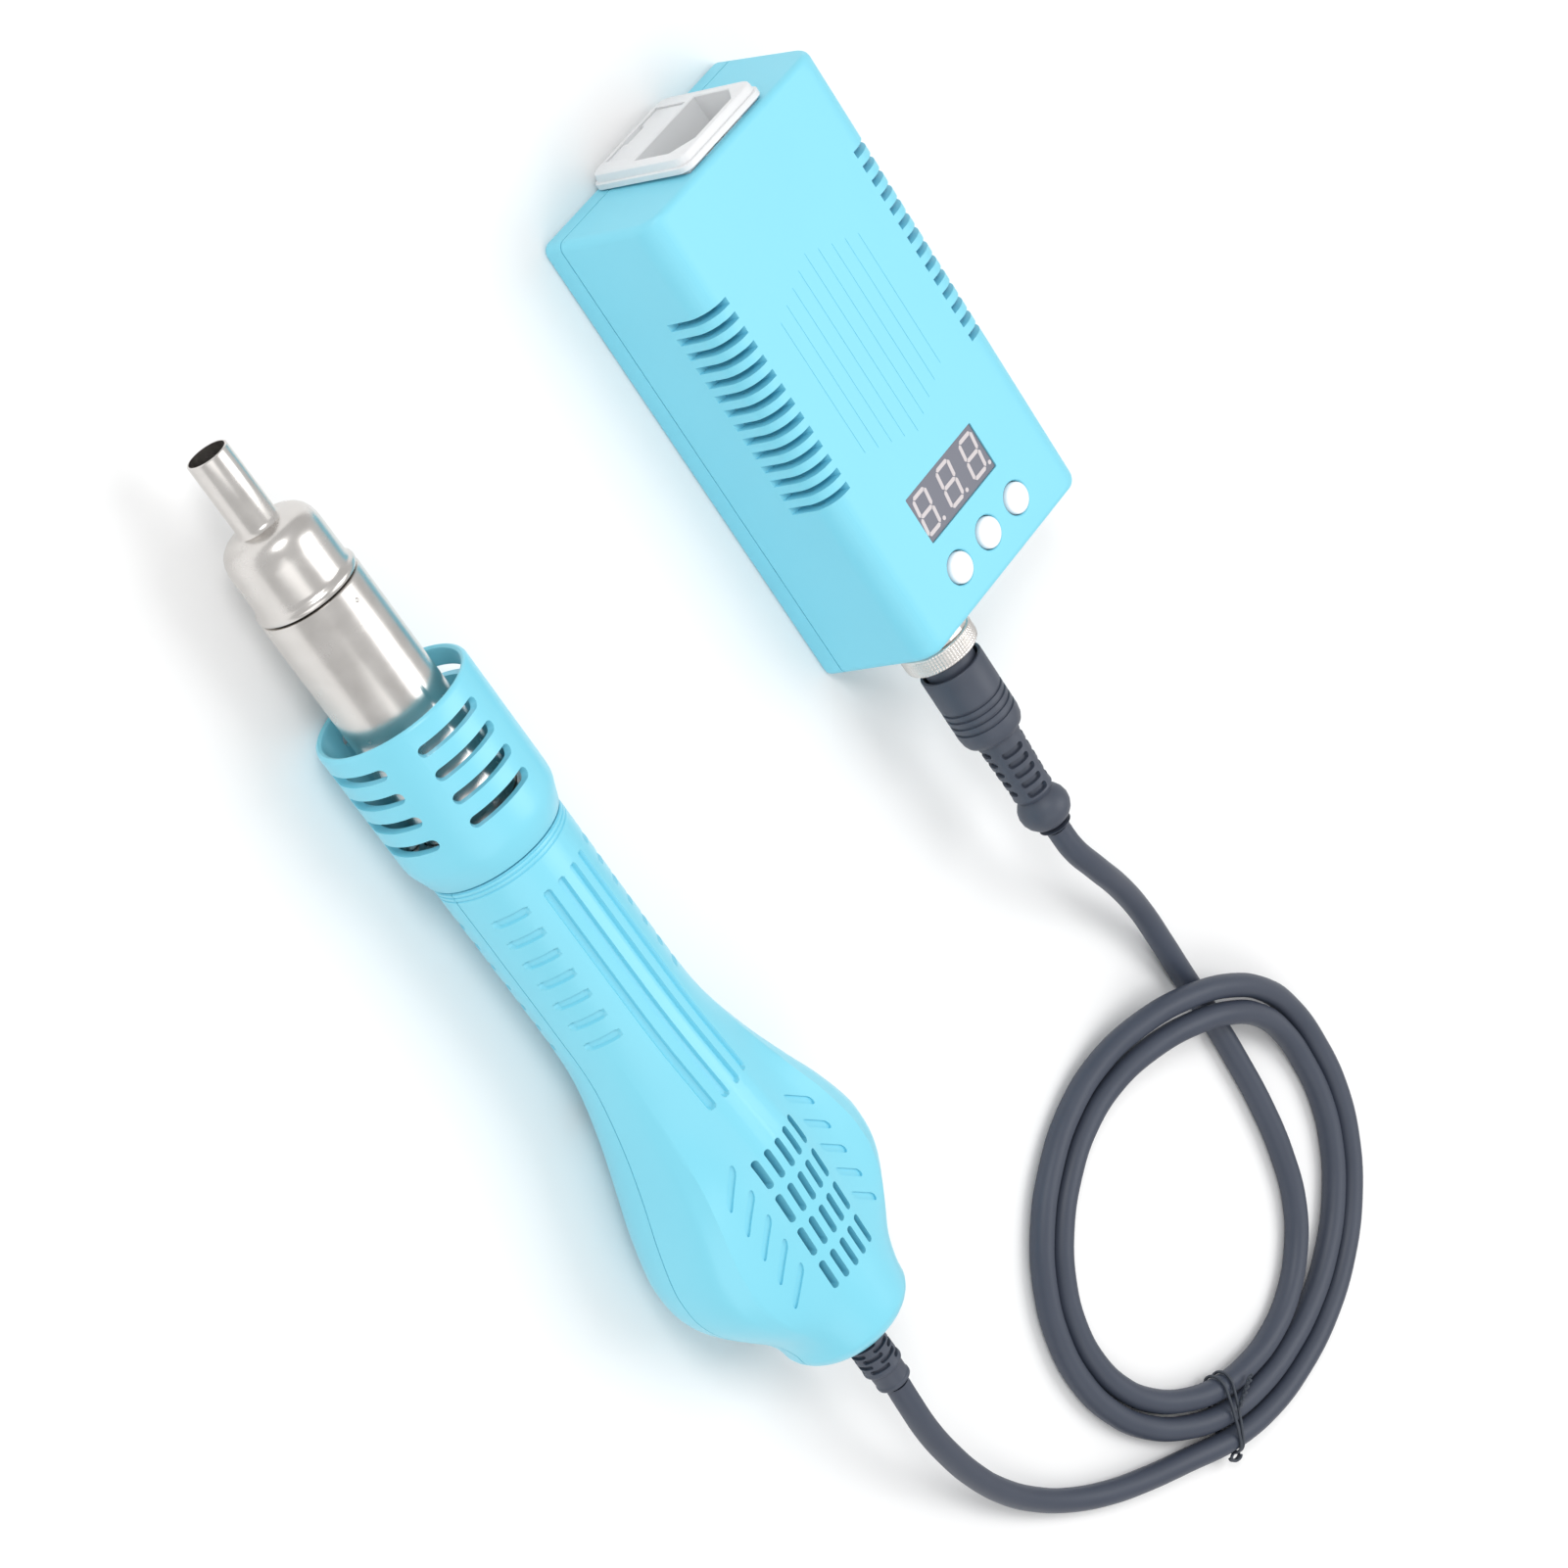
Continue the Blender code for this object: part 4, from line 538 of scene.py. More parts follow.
def smooth(x, stops, column=1):
    """A smooth curve through the stops, flat outside them."""
    if x <= stops[0][0]:
        return stops[0][column]
    for k in range(len(stops) - 1):
        if x <= stops[k + 1][0]:
            x0, x1 = stops[k][0], stops[k + 1][0]
            y0, y1 = stops[k][column], stops[k + 1][column]
            before, after = stops[max(k - 1, 0)], stops[min(k + 2, len(stops) - 1)]
            m0 = (y1 - before[column]) / (x1 - before[0]) * (x1 - x0)
            m1 = (after[column] - y0) / (after[0] - x0) * (x1 - x0)
            t = (x - x0) / (x1 - x0)
            rise = (2 * t**3 - 3 * t**2 + 1) * y0 + (t**3 - 2 * t**2 + t) * m0
            return rise + (3 * t**2 - 2 * t**3) * y1 + (t**3 - t**2) * m1
    return stops[-1][column]


def skin_point(x, angle, up, inset=0.0):
    """A point of the handle's section at x, at an angle in degrees from the ridge or the keel, on the +Y side."""
    tail = 1.0
    if x > TAIL_X:
        tail = math.sqrt(max(0.0, 1 - ((x - TAIL_X) / (TAIL_END - TAIL_X + 0.8)) ** 2))
    wide = smooth(x, HALF_WIDTH) * tail - inset
    high = smooth(x, TOP_HEIGHT if up else DROP) * tail - inset
    bulge = smooth(x, BULGE)
    round_y, round_z = math.sin(math.radians(angle)), math.cos(math.radians(angle))
    if up:
        part = RIDGE_TO_CREASE if angle <= 60 else CREASE_TO_SIDE
        full_y, full_z = smooth(angle, part, 1), smooth(angle, part, 2)
    else:
        full_y, full_z = round_y**0.82, max(round_z, 0.0) ** 0.82
    return wide * (round_y + bulge * (full_y - round_y)), high * (round_z + bulge * (full_z - round_z))


def angle_at(x, y, up):
    """The angle at which the skin is that far to the side."""
    low, high = 0.0, 89.0
    for _ in range(24):
        middle = (low + high) / 2
        if skin_point(x, middle, up)[0] < y:
            low = middle
        else:
            high = middle
    return (low + high) / 2


def dip(distance, half, deep, soft=0.35):
    """Depth of a groove with soft walls, at a distance from its middle line."""
    t = min(max((half - distance) / soft, 0.0), 1.0)
    return deep * t * t * (3 - 2 * t)


def skin_depth(x, y, angle, up):
    """How deep the fine grooves and dimples are pressed into the handle's skin there."""
    deep = 0.0
    if up:
        for line in GROOVES_Y:
            past = max(GROOVE_SPAN[0] + 1 - x, x - GROOVE_SPAN[1] + 1, 0.0)
            deep = max(deep, dip(math.hypot(past, y - line), GROOVE_W / 2, GROOVE_DEEP))
    round_the_top = angle if up else 180 - angle
    if DIMPLE_FIRST - 3 < x < DIMPLE_FIRST + DIMPLE_PITCH * DIMPLES:
        nearest = DIMPLE_FIRST + DIMPLE_PITCH * round((x - DIMPLE_FIRST) / DIMPLE_PITCH)
        if nearest > DIMPLE_FIRST - 1 and nearest < DIMPLE_FIRST + DIMPLE_PITCH * (DIMPLES - 0.5):
            for middle in DIMPLE_ANGLES:
                past = max(abs(round_the_top - middle) - DIMPLE_ARC, 0.0) * math.radians(GRIP_R)
                deep = max(deep, dip(math.hypot(x - nearest, past), DIMPLE_W / 2, DIMPLE_DEEP))
    for ring in RING_GROOVES:
        deep = max(deep, dip(abs(x - ring), 0.28, 0.28, 0.2))
    return deep


def skin_rows():
    """Stations along the handle, closer together where a groove or a dimple has its edges."""
    rows = {107.45, 107.5, 112.0, 114.5, 156.5, 159.0, 162.0, 166.0, 170.0, 174.0, 177.5}
    for ring in RING_GROOVES:
        rows |= {round(ring + step, 3) for step in (-0.28, -0.18, -0.08, 0.0, 0.08, 0.18, 0.28)}
    for k in range(DIMPLES):
        middle = DIMPLE_FIRST + DIMPLE_PITCH * k
        rows |= {round(middle + step, 3) for step in (-3.0, -1.15, -1.0, -0.8, -0.4, 0.0, 0.4, 0.8, 1.0, 1.15)}
    for end in GROOVE_SPAN:
        rows |= {round(end + step, 3) for step in (-1.0, -0.8, -0.6, -0.3, 0.0, 0.3, 0.6, 0.8, 1.0)}
    rows |= {184.0 + 2.0 * k for k in range(35)}
    return sorted(rows)


def skin_angles(x, up):
    """Angles round the section, with lines along each groove's edges."""
    edges = [0.0, 0.6]
    for line in GROOVES_Y:
        edges += [line + step for step in (-1.0, -0.85, -0.65, -0.3, 0.3, 0.65, 0.85, 1.0)]
    edges.append(8.2)
    angles = [angle_at(min(x, LAST_FITTED), y, up) if y else 0.0 for y in edges]
    return angles + SIDE_ANGLES


def skin_row(x, up):
    """One row of the skin from side to side, grooves and all."""
    half = []
    for angle in skin_angles(x, up):
        y, z = skin_point(x, angle, up)
        sink = 1 - skin_depth(x, y, angle, up) / max(math.hypot(y, z), 1.0)
        half.append((y * sink, z * sink))
    whole = [(-y, z) for y, z in reversed(half[1:])] + half
    lift = GAP / 2
    return [Vector((x, y, z + lift if up else -z - lift)) for y, z in whole]


def handle_skin(up):
    """Half of the handle as a thick shell: outer skin with its grooves, plain inner wall."""
    outer = [skin_row(x, up) for x in skin_rows()]
    reach = TAIL_END - TAIL_X
    for share in (0.15, 0.3, 0.45, 0.58, 0.7, 0.8, 0.88, 0.94, 0.98):
        outer.append(skin_row(TAIL_X + reach * share, up))
    count = len(outer[0])
    hole = []
    for k in range(count):
        p = outer[-1][k]
        side = math.hypot(p.y, p.z)
        hole.append(Vector((TAIL_END, p.y / side * (RELIEF_R + GAP), p.z / side * (RELIEF_R + GAP))))
    outer.append(hole)
    inner = []
    for row in outer[:-1]:
        x = min(row[0].x, TAIL_END - SHELL_WALL)
        ring = []
        for p in row:
            side = max(math.hypot(p.y, p.z), 0.1)
            room = max(side - SHELL_WALL, RELIEF_R + GAP)
            ring.append(Vector((x, p.y * room / side, p.z * room / side)))
        inner.append(ring)
    bm = bmesh.new()
    rows = [[bm.verts.new(p) for p in ring] for ring in outer]
    backs = [[bm.verts.new(p) for p in ring] for ring in inner]
    strips = [*zip(rows, rows[1:]), *zip(backs, backs[1:]), (rows[0], backs[0]), (rows[-1], backs[-1])]
    for low, high in strips:
        for i in range(count - 1):
            bm.faces.new((low[i], low[i + 1], high[i + 1], high[i]))
    backs.append(backs[-1])
    for side in (0, count - 1):
        for k in range(len(rows) - 1):
            corners = (rows[k][side], rows[k + 1][side], backs[k + 1][side], backs[k][side])
            bm.faces.new(list(dict.fromkeys(corners)))
    return bm


def neck_collar(up):
    """The handle's neck and lip, inside the guard."""
    lip = GRIP_FRONT - 8.9
    profile = [(lip, NECK_BORE), (lip, FLANGE_R + 0.2), (lip + 2.0, FLANGE_R + 0.2), (lip + 2.1, NECK_R)]
    profile += [(GRIP_FRONT + 2.4, NECK_R), (GRIP_FRONT + 2.4, NECK_BORE)]
    rings = []
    for k in range(25):
        angle = math.radians(90 - 7.5 * k)
        sign = 1 if up else -1
        lift = sign * GAP / 2
        rings.append([Vector((x, r * math.sin(angle), sign * r * math.cos(angle) + lift)) for x, r in profile])
    return lofted(rings)


def build_handle():
    upper = mesh_object("upper_handle_shell", handle_skin(True), IN_HANDSET)
    lower = mesh_object("lower_handle_shell", handle_skin(False), IN_HANDSET)
    slots = bmesh.new()
    for row in range(INTAKE_ROWS):
        for column in range(INTAKE_COLUMNS):
            x = FAN_X + INTAKE_PITCH_X * (row - (INTAKE_ROWS - 1) / 2)
            y = INTAKE_PITCH_Y * (column - (INTAKE_COLUMNS - 1) / 2)
            add_prism(slots, [(x + a, y + b) for a, b in stadium(INTAKE_LONG + 1.2, INTAKE_WIDE)], (9.0, 27.0))
    pad = bmesh.new()
    rings = []
    for x in (FAN_X - 22.5, FAN_X - 7.0, FAN_X + 7.0, FAN_X + 22.5):
        ring = [Vector((x, y, skin_height(x, abs(y)) - 1.0)) for y in (-10.0, -5.0, 0.0, 5.0, 10.0)]
        ring += [Vector((x, y, skin_height(x, abs(y)) - 3.9)) for y in (10.0, 5.0, 0.0, -5.0, -10.0)]
        rings.append(ring)
    add_loft(pad, rings)
    carve(upper, pad, IN_HANDSET, "UNION")
    carve(upper, slots, IN_HANDSET)
    marks = bmesh.new()
    for k in range(5):
        for side in (-1, 1):
            add_mark(marks, 195.6 + 7.6 * k, side)
    carve(upper, marks, IN_HANDSET)
    wells = bmesh.new()
    for x, y in HANDLE_SCREWS:
        down = Matrix.Translation((x, y, -11.2)) @ Matrix.Rotation(math.radians(90), 4, "Y")
        add_turned(wells, [(0, 0), (0, 2.6), (20, 2.6), (20, 0)], 32, place=down)
    carve(lower, wells, IN_HANDSET)
    for obj, up, node in ((upper, True, "handle_top_shell"), (lower, False, "handle_bottom_shell")):
        dress(obj, TEAL_GLOSS, (node,), sharp=28)
        collar = mesh_object(obj.name + "_neck", neck_collar(up), IN_HANDSET)
        dress(collar, TEAL)


def add_mark(bm, x, side):
    """A short shallow slanting mark on the shoulder beside the intake, its floor following the skin."""
    wide, deep, count = 1.25, 0.55, 14
    rings = []
    for k in range(count + 1):
        t = 0.5 - 0.5 * math.cos(math.pi * k / count)
        y = 10.6 + 6.6 * t
        along = x - 0.8 + 7.2 * t
        past = max(abs(t - 0.5) * 9.0 - 3.4, 0.0) / 1.12
        half = max(wide * math.sqrt(max(1 - past * past, 0.0)), 0.12)
        low, high = (skin_height(along + step, y) - deep for step in (-half, half))
        rings.append([Vector((along - half, side * y, low)), Vector((along + half, side * y, high)),
                      Vector((along + half, side * y, 30.0)), Vector((along - half, side * y, 30.0))])  # fmt: skip
    add_loft(bm, rings)


def skin_height(x, y):
    return skin_point(x, angle_at(x, y, True), True)[1] + GAP / 2


def build_nozzle():
    inner = SKIRT_R - SHEET
    outside = [
        (0.15, NOZZLE_R - 0.12), (0.3, NOZZLE_R), (NOZZLE_TUBE - 0.6, NOZZLE_R), (NOZZLE_TUBE, NOZZLE_R + 0.35),
        (NOZZLE_TUBE + 0.4, 5.7), (18.95, 6.6), (19.2, 7.6), (19.65, 8.7), (20.3, 9.6), (21.2, 10.4), (22.4, 10.95),
        (24.0, SKIRT_R - 0.12), (26.0, SKIRT_R - 0.02), (33.6, SKIRT_R), (34.5, SKIRT_R + 0.1), (34.9, SKIRT_R + 0.35),
        (35.3, SKIRT_R + 0.72), (35.8, SKIRT_R + 0.86), (36.3, SKIRT_R + 0.82), (36.75, SKIRT_R + 0.62),
        (SKIRT_END, SKIRT_R + 0.35),
    ]  # fmt: skip
    bore = NOZZLE_R - NOZZLE_WALL
    inside = [(SKIRT_END, inner + 0.15), (25.2, inner), (22.8, 10.3), (21.4, 9.2), (20.2, 6.8)]
    inside += [(NOZZLE_TUBE + 1.6, NOZZLE_R - 0.2), (NOZZLE_TUBE, bore), (0.15, bore)]
    nozzle = mesh_object("push_on_nozzle", turned(outside + inside, 128, closed=True), IN_HANDSET)
    dress(nozzle, STEEL, ("nozzle",), "nozzle")


def build_barrel():
    spigot = SKIRT_R - SHEET - RUN
    step = SKIRT_END + RUN
    outside = [(26.5, spigot - 0.4), (27.5, spigot), (step - 0.15, spigot), (step, spigot + 0.3)]
    outside += [(step, BARREL_R - 0.45), (step + 0.12, BARREL_R - 0.15), (step + 0.5, BARREL_R), (BARREL_END, BARREL_R)]
    inside = [(BARREL_END, BARREL_R - SHEET), (step + 0.8, BARREL_R - SHEET), (step - 0.4, spigot - SHEET)]
    inside += [(27.5, spigot - SHEET), (26.5, spigot - 0.4 - SHEET)]
    barrel = mesh_object("steel_barrel", turned(outside + inside, 128, closed=True), IN_HANDSET)
    punch = bmesh.new()
    tip = Matrix.Translation((41.2, 0.9, BARREL_R + 0.35))
    bmesh.ops.create_icosphere(punch, subdivisions=3, radius=0.75, matrix=tip)
    carve(barrel, punch, IN_HANDSET)
    dress(barrel, STEEL, ("barrel",))
    back, behind = FLANGE_AT + FLANGE_T, BARREL_END + GAP
    ring = [(FLANGE_AT, BARREL_R + GAP), (FLANGE_AT, FLANGE_R), (back, FLANGE_R)]
    ring += [(back, BARREL_R - 0.9), (behind, BARREL_R - 0.9), (behind, BARREL_R + GAP)]
    flange = mesh_object("barrel_foot_ring", turned(ring, 96, closed=True), IN_HANDSET)
    dress(flange, STEEL, ("barrel_flange",))


def build_guard():
    inner, collar, rear = GUARD_R - GUARD_WALL, NECK_R + GAP, GRIP_FRONT - GAP
    front = [(0.1, inner + 0.75), (0.0, inner + 1.0), (0.12, GUARD_R - 0.5), (0.4, GUARD_R - 0.2), (1.0, GUARD_R)]
    front += [(31.8, GUARD_R - 0.05), (33.6, GUARD_R - 0.2), (34.8, GUARD_R - 0.5), (36.2, GUARD_R - 1.05)]
    outside = [(GUARD_FRONT + x, radius) for x, radius in front] + [(rear - 0.35, GRIP_R + 0.42), (rear, GRIP_R + 0.1)]
    inside = [(rear, collar), (rear - 6.2, collar), (rear - 6.4, inner - 0.1), (GUARD_FRONT + 1.2, inner)]
    inside += [(GUARD_FRONT + 0.4, inner + 0.3)]
    guard = mesh_object("slotted_guard", turned(outside + inside, 144, closed=True), IN_HANDSET)
    slots = bmesh.new()
    for column in GUARD_COLUMNS:
        for row in range(GUARD_SLOTS):
            add_arc_slot(slots, GUARD_FRONT + 6.1 + GUARD_SLOT_PITCH * row, column)
    carve(guard, slots, IN_HANDSET)
    dress(guard, TEAL_GLOSS, ("nose_guard",), sharp=30)


def add_arc_slot(bm, middle, column, inner=GUARD_R - GUARD_WALL - 2, outer=GUARD_R + 1, wide=GUARD_SLOT_W,
                 arc=GUARD_SLOT_ARC):  # fmt: skip
    """A slot that runs round the axis, with round ends."""
    steps, flare = 24, 0.18
    mean = (inner + outer) / 2
    round_end = math.degrees(wide / 2 / mean)
    rings = []
    for k in range(steps + 1):
        if k in (0, steps):
            t = -0.5 + (0.02 * round_end / arc if k == 0 else 1 - 0.02 * round_end / arc)
        else:
            t = -0.5 + 0.5 * (1 - math.cos(math.pi * k / steps))
        offset = t * arc
        past = max(abs(offset) - (arc / 2 - round_end), 0.0) / round_end
        half = max(wide / 2 * math.sqrt(max(1 - past**2, 0.0)), 0.08)
        angle = math.radians(column + offset)
        near = [(half, inner), (half, outer - 1.25), (half + flare, outer)]
        section = [(-half, inner)] + near + [(-x, radius) for x, radius in near[:0:-1]]
        rings.append([Vector((middle + x, r * math.sin(angle), r * math.cos(angle))) for x, r in section])
    add_loft(bm, rings)


def build_strain_relief():
    """Ribbed sleeve out of the handle's tail, ending in a smooth collar round the cord."""
    start, end = TAIL_END - SHELL_WALL - 7.2, TAIL_END + RELIEF_OUT
    shape = [(start, 0.0), (start, 7.2), (start + 3.0, 7.2), (start + 3.0, RELIEF_R), (TAIL_END - 0.4, RELIEF_R)]
    collar = [(6.4, RELIEF_R), (6.0, RELIEF_R + 0.14), (5.4, RELIEF_R + 0.12), (5.1, RELIEF_R - 0.25), (4.9, 4.3)]
    collar += [(1.4, 4.15), (1.1, 4.4), (0.3, 4.35), (0.0, 3.8), (0.0, 0.0)]
    shape += [(end - back, radius) for back, radius in collar]
    sleeve = mesh_object("tail_strain_relief", turned(rounded_profile(shape, 0.2), 72), IN_HANDSET)
    cuts = bmesh.new()
    for row in range(6):
        for side in range(4):
            column = 90 * side + (45 if row % 2 else 0)
            add_arc_slot(cuts, TAIL_END + 1.3 + 1.7 * row, column, RELIEF_R - 0.8, RELIEF_R + 0.9, 1.05, 64)
    carve(sleeve, cuts, IN_HANDSET)
    dress(sleeve, BOOT_RUBBER, ("handle_strain_relief",))


def cross_head_screw(name, node, head_at, axis, head_r, length, shank_r=0.75):
    """A pan-head screw with a cross recess; the axis points out of its head."""
    place = Matrix.Translation(head_at) @ Vector((1, 0, 0)).rotation_difference(Vector(axis)).to_matrix().to_4x4()
    tall = head_r * 0.55
    shape = [(tall, 0.0), (tall, head_r * 0.45), (tall * 0.82, head_r * 0.8), (tall * 0.35, head_r)]
    shape += [(0.0, head_r), (0.0, shank_r)]
    for k in range(int(length / 0.55)):
        shape += [(-0.1 - 0.55 * k, shank_r), (-0.37 - 0.55 * k, shank_r * 0.82)]
    shape += [(-length, shank_r * 0.6), (-length - 0.3, 0.0)]
    screw = mesh_object(name, turned(shape, 32), Matrix.Identity(4))
    arm, half = head_r * 0.62, head_r * 0.13
    for y, z in ((arm, half), (half, arm)):
        cut_box(screw, (tall * 0.3, -y, -z), (tall + 1, y, z), Matrix.Identity(4))
    screw.data.transform(place)
    return dress(screw, ZINC, (node,), sharp=30)


def build_screws():
    turns = [math.radians(angle) for angle in (90, 210, 330)]
    ring = [(FLANGE_AT - 0.15, FLANGE_SCREW_R * math.cos(a), FLANGE_SCREW_R * math.sin(a)) for a in turns]
    shells = [(x, y, -10.15) for x, y in HANDLE_SCREWS]
    case = [(x, y, 1.8) for x, y in CASE_SCREWS]
    for name, node, places, axis, head_r, length, within in (
        ("foot_ring_screw", "flange_screw", ring, (-1, 0, 0), 1.5, 2.2, IN_HANDSET),
        ("shell_screw", "handle_screw", shells, (0, 0, -1), 2.0, 14.0, IN_HANDSET),
        ("box_screw", "case_screw", case, (0, 0, -1), 2.3, 15.0, IN_BOX),
    ):
        for number, at in enumerate(places, 1):
            screw = cross_head_screw(f"{name}_{number}", f"{node}_{number}", at, axis, head_r, length)
            screw.data.transform(within)


# ---- box -----------------------------------------------------------------------------------------


def rounding(radius, above):
    """How far a rounded edge has drawn in at a height above the start of its curve."""
    return radius - math.sqrt(max(0.0, radius**2 - above**2)) if above > 0 else 0.0


def box_ring(z):
    """The case's outline at height z, with its draft and the rounding of its edges."""
    share = z / BOX[2]
    in_x, in_y = DRAFT_X * share, DRAFT_Y * share
    in_y += rounding(LONG_FILLET, z - (BOX[2] - LONG_FILLET))
    in_x += rounding(END_FILLET, z - (BOX[2] - END_FILLET))
    foot = rounding(FOOT_ROUND, FOOT_ROUND - z)
    in_x, in_y = in_x + foot, in_y + foot
    outline = rounded_rect((in_x, in_y), (BOX[0] - in_x, BOX[1] - in_y), CORNER_R, 8)
    return [Vector((x, y, z)) for x, y in outline]


def cavity(low, high):
    top, fillet = BOX[2] - BOX_WALL, LONG_FILLET - BOX_WALL
    heights = {low, high}
    if high >= top:
        heights |= {top - fillet * (1 - math.sin(math.radians(15 * k))) for k in range(7)}
    rings = []
    for z in sorted(heights):
        share = z / BOX[2]
        in_x, in_y = DRAFT_X * share + BOX_WALL, DRAFT_Y * share + BOX_WALL
        if high >= top:
            in_y += rounding(fillet, z - (top - fillet))
        rings.append([Vector((x, y, z)) for x, y in rounded_rect((in_x, in_y), (BOX[0] - in_x, BOX[1] - in_y), 0.6, 2)])
    return lofted(rings)


def inlet_opening():
    y, z = BOX[1] / 2, BOX[2] / 2
    half_y, half_z = INLET_BODY[0] / 2 + GAP, INLET_BODY[1] / 2 + GAP
    return (-6.0, y - half_y, z - half_z), (BOX_WALL + 6.0, y + half_y, z + half_z)


def build_case():
    top = BOX[2]
    heights = [SEAM_Z + GAP / 2, SEAM_Z + GAP / 2 + 0.12, 12.0, 20.0]
    heights += [top - LONG_FILLET * (1 - math.sin(math.radians(7.5 * k))) for k in range(10)]
    heights += [top - END_FILLET * (1 - math.sin(math.radians(15 * k))) for k in range(7)]
    front = mesh_object("front_shell", lofted([box_ring(z) for z in sorted(set(heights))]), IN_BOX)
    carve(front, cavity(SEAM_Z - 3, top - BOX_WALL), IN_BOX)
    ribs = bmesh.new()
    ends = (VENT_FIRST - 3.0, VENT_FIRST + VENT_PITCH * (VENTS - 1) + 3.0)
    wall, roof = BOX_WALL + 1.0, top - BOX_WALL + 0.6
    outline = [(wall, VENT_Z - 3), (wall + 3.2, VENT_Z - 2), (wall + 3.2, roof - 5.2), (wall + 6.0, roof - 2.6)]
    outline += [(VENT_Y + 3.2, roof - 2.4), (VENT_Y + 3.2, roof), (wall + 4.4, roof), (wall + 1.4, roof - 2.4)]
    for near in (True, False):
        add_loft(ribs, [[Vector((x, y if near else BOX[1] - y, z)) for y, z in outline] for x in ends])
    carve(front, ribs, IN_BOX, "UNION")
    cuts = bmesh.new()
    add_box(cuts, *inlet_opening())
    for k in range(VENTS):
        x = VENT_FIRST + VENT_PITCH * k
        for near in (True, False):
            add_vent(cuts, x, near)
    (at_x, at_y), (half_x, half_y) = WINDOW_AT, (WINDOW[0] / 2, WINDOW[1] / 2)
    outline = rounded_rect((at_x - half_x, at_y - half_y), (at_x + half_x, at_y + half_y), 0.35, 3)
    add_prism(cuts, outline, (top - 5, top + 3))
    for y in (BUTTON_Y - BUTTON_PITCH, BUTTON_Y, BUTTON_Y + BUTTON_PITCH):
        hole = BUTTON_R + RUN
        shape = [(0, 0), (0, hole), (4.75, hole), (5.01, hole + 0.28), (7, hole + 0.28), (7, 0)]
        add_turned(cuts, shape, 64, place=upright(BUTTON_X, y, top - 5))
    start, end, hole = BOX[0] - 8, BOX[0] + 4, LINK_R + GAP
    link = Matrix.Translation((0, *LINK_AT))
    add_turned(cuts, [(start, 0), (start, hole), (end, hole), (end, 0)], 48, place=link)
    carve(front, cuts, IN_BOX)
    room_x, room_y = half_x + DISPLAY_ROOM, half_y + DISPLAY_ROOM
    low, high = (at_x - room_x, at_y - room_y, top - 6), (at_x + room_x, at_y + room_y, top - WINDOW_LIP)
    cut_box(front, low, high, IN_BOX)
    carve(front, engraved_lines(), IN_BOX)
    dress(front, TEAL, ("case_front_shell",), sharp=24)

    heights = [0.0, 0.1, 0.3, 0.6, 1.0, 1.5, SEAM_Z - GAP / 2 - 0.12, SEAM_Z - GAP / 2]
    back = mesh_object("back_shell", lofted([box_ring(z) for z in heights]), IN_BOX)
    carve(back, cavity(BOX_WALL, SEAM_Z + 3), IN_BOX)
    cuts = bmesh.new()
    add_box(cuts, *inlet_opening())
    for x, y in CASE_SCREWS:
        add_turned(cuts, [(0, 0), (0, 2.7), (2.8, 2.7), (2.8, 1.3), (6, 1.3), (6, 0)], 40, place=upright(x, y, -1.0))
    carve(back, cuts, IN_BOX)
    dress(back, TEAL, ("case_back_shell",), sharp=24)


def add_vent(bm, x, near):
    """A through slot from the side wall over the long edge, its ends sloping as they go in."""
    slope, low, high = 1.7, VENT_Z, BOX[2]
    corners = ((-4.0, low - slope * 0.8), (-4.0, high + 4), (VENT_Y + slope, high + 4),
               (VENT_Y + 0.2, high - 6.0), (VENT_Y + 0.2, low + 4.0))  # fmt: skip
    walls = (x - VENT_W / 2, x + VENT_W / 2)
    add_loft(bm, [[Vector((at, y if near else BOX[1] - y, z)) for y, z in corners] for at in walls])


def engraved_lines():
    """Plain fine lines along the box's face."""
    cuts = bmesh.new()
    wide, deep = 0.2, 0.1
    for k in range(9):
        y = 18.5 + 4.1 * k
        start = 33.0 + 1.7 * abs(k - 4)
        end = 84.0 - 1.7 * abs(k - 4)
        add_box(cuts, (start, y - wide / 2, BOX[2] - deep), (end, y + wide / 2, BOX[2] + 1))
    return cuts


def build_buttons():
    top = BOX[2]
    base, under, face = 28.9, top - BOX_WALL - GAP, top + BUTTON_PROUD
    for number, step in enumerate((-1, 0, 1), 1):
        shape = [(base, 0.0), (base, 1.6), (under - 0.8, 1.6), (under - 0.8, BUTTON_R + 0.9), (under, BUTTON_R + 0.9)]
        shape += [(under, BUTTON_R), (face - 0.75, BUTTON_R)]
        for k in range(1, 7):
            angle = math.radians(15 * k)
            shape.append((face - 0.75 + 0.7 * math.sin(angle), BUTTON_R - 0.7 + 0.7 * math.cos(angle)))
        shape += [(face + 0.02, BUTTON_R * 0.5), (face + 0.05, 0.0)]
        up = upright(BUTTON_X, BUTTON_Y + BUTTON_PITCH * step, 0)
        cap = mesh_object(f"button_cap_{number}", turned(shape, 64), IN_BOX @ up)
        dress(cap, BUTTON_WHITE, (f"button_{number}",), f"button_{number}", 40)


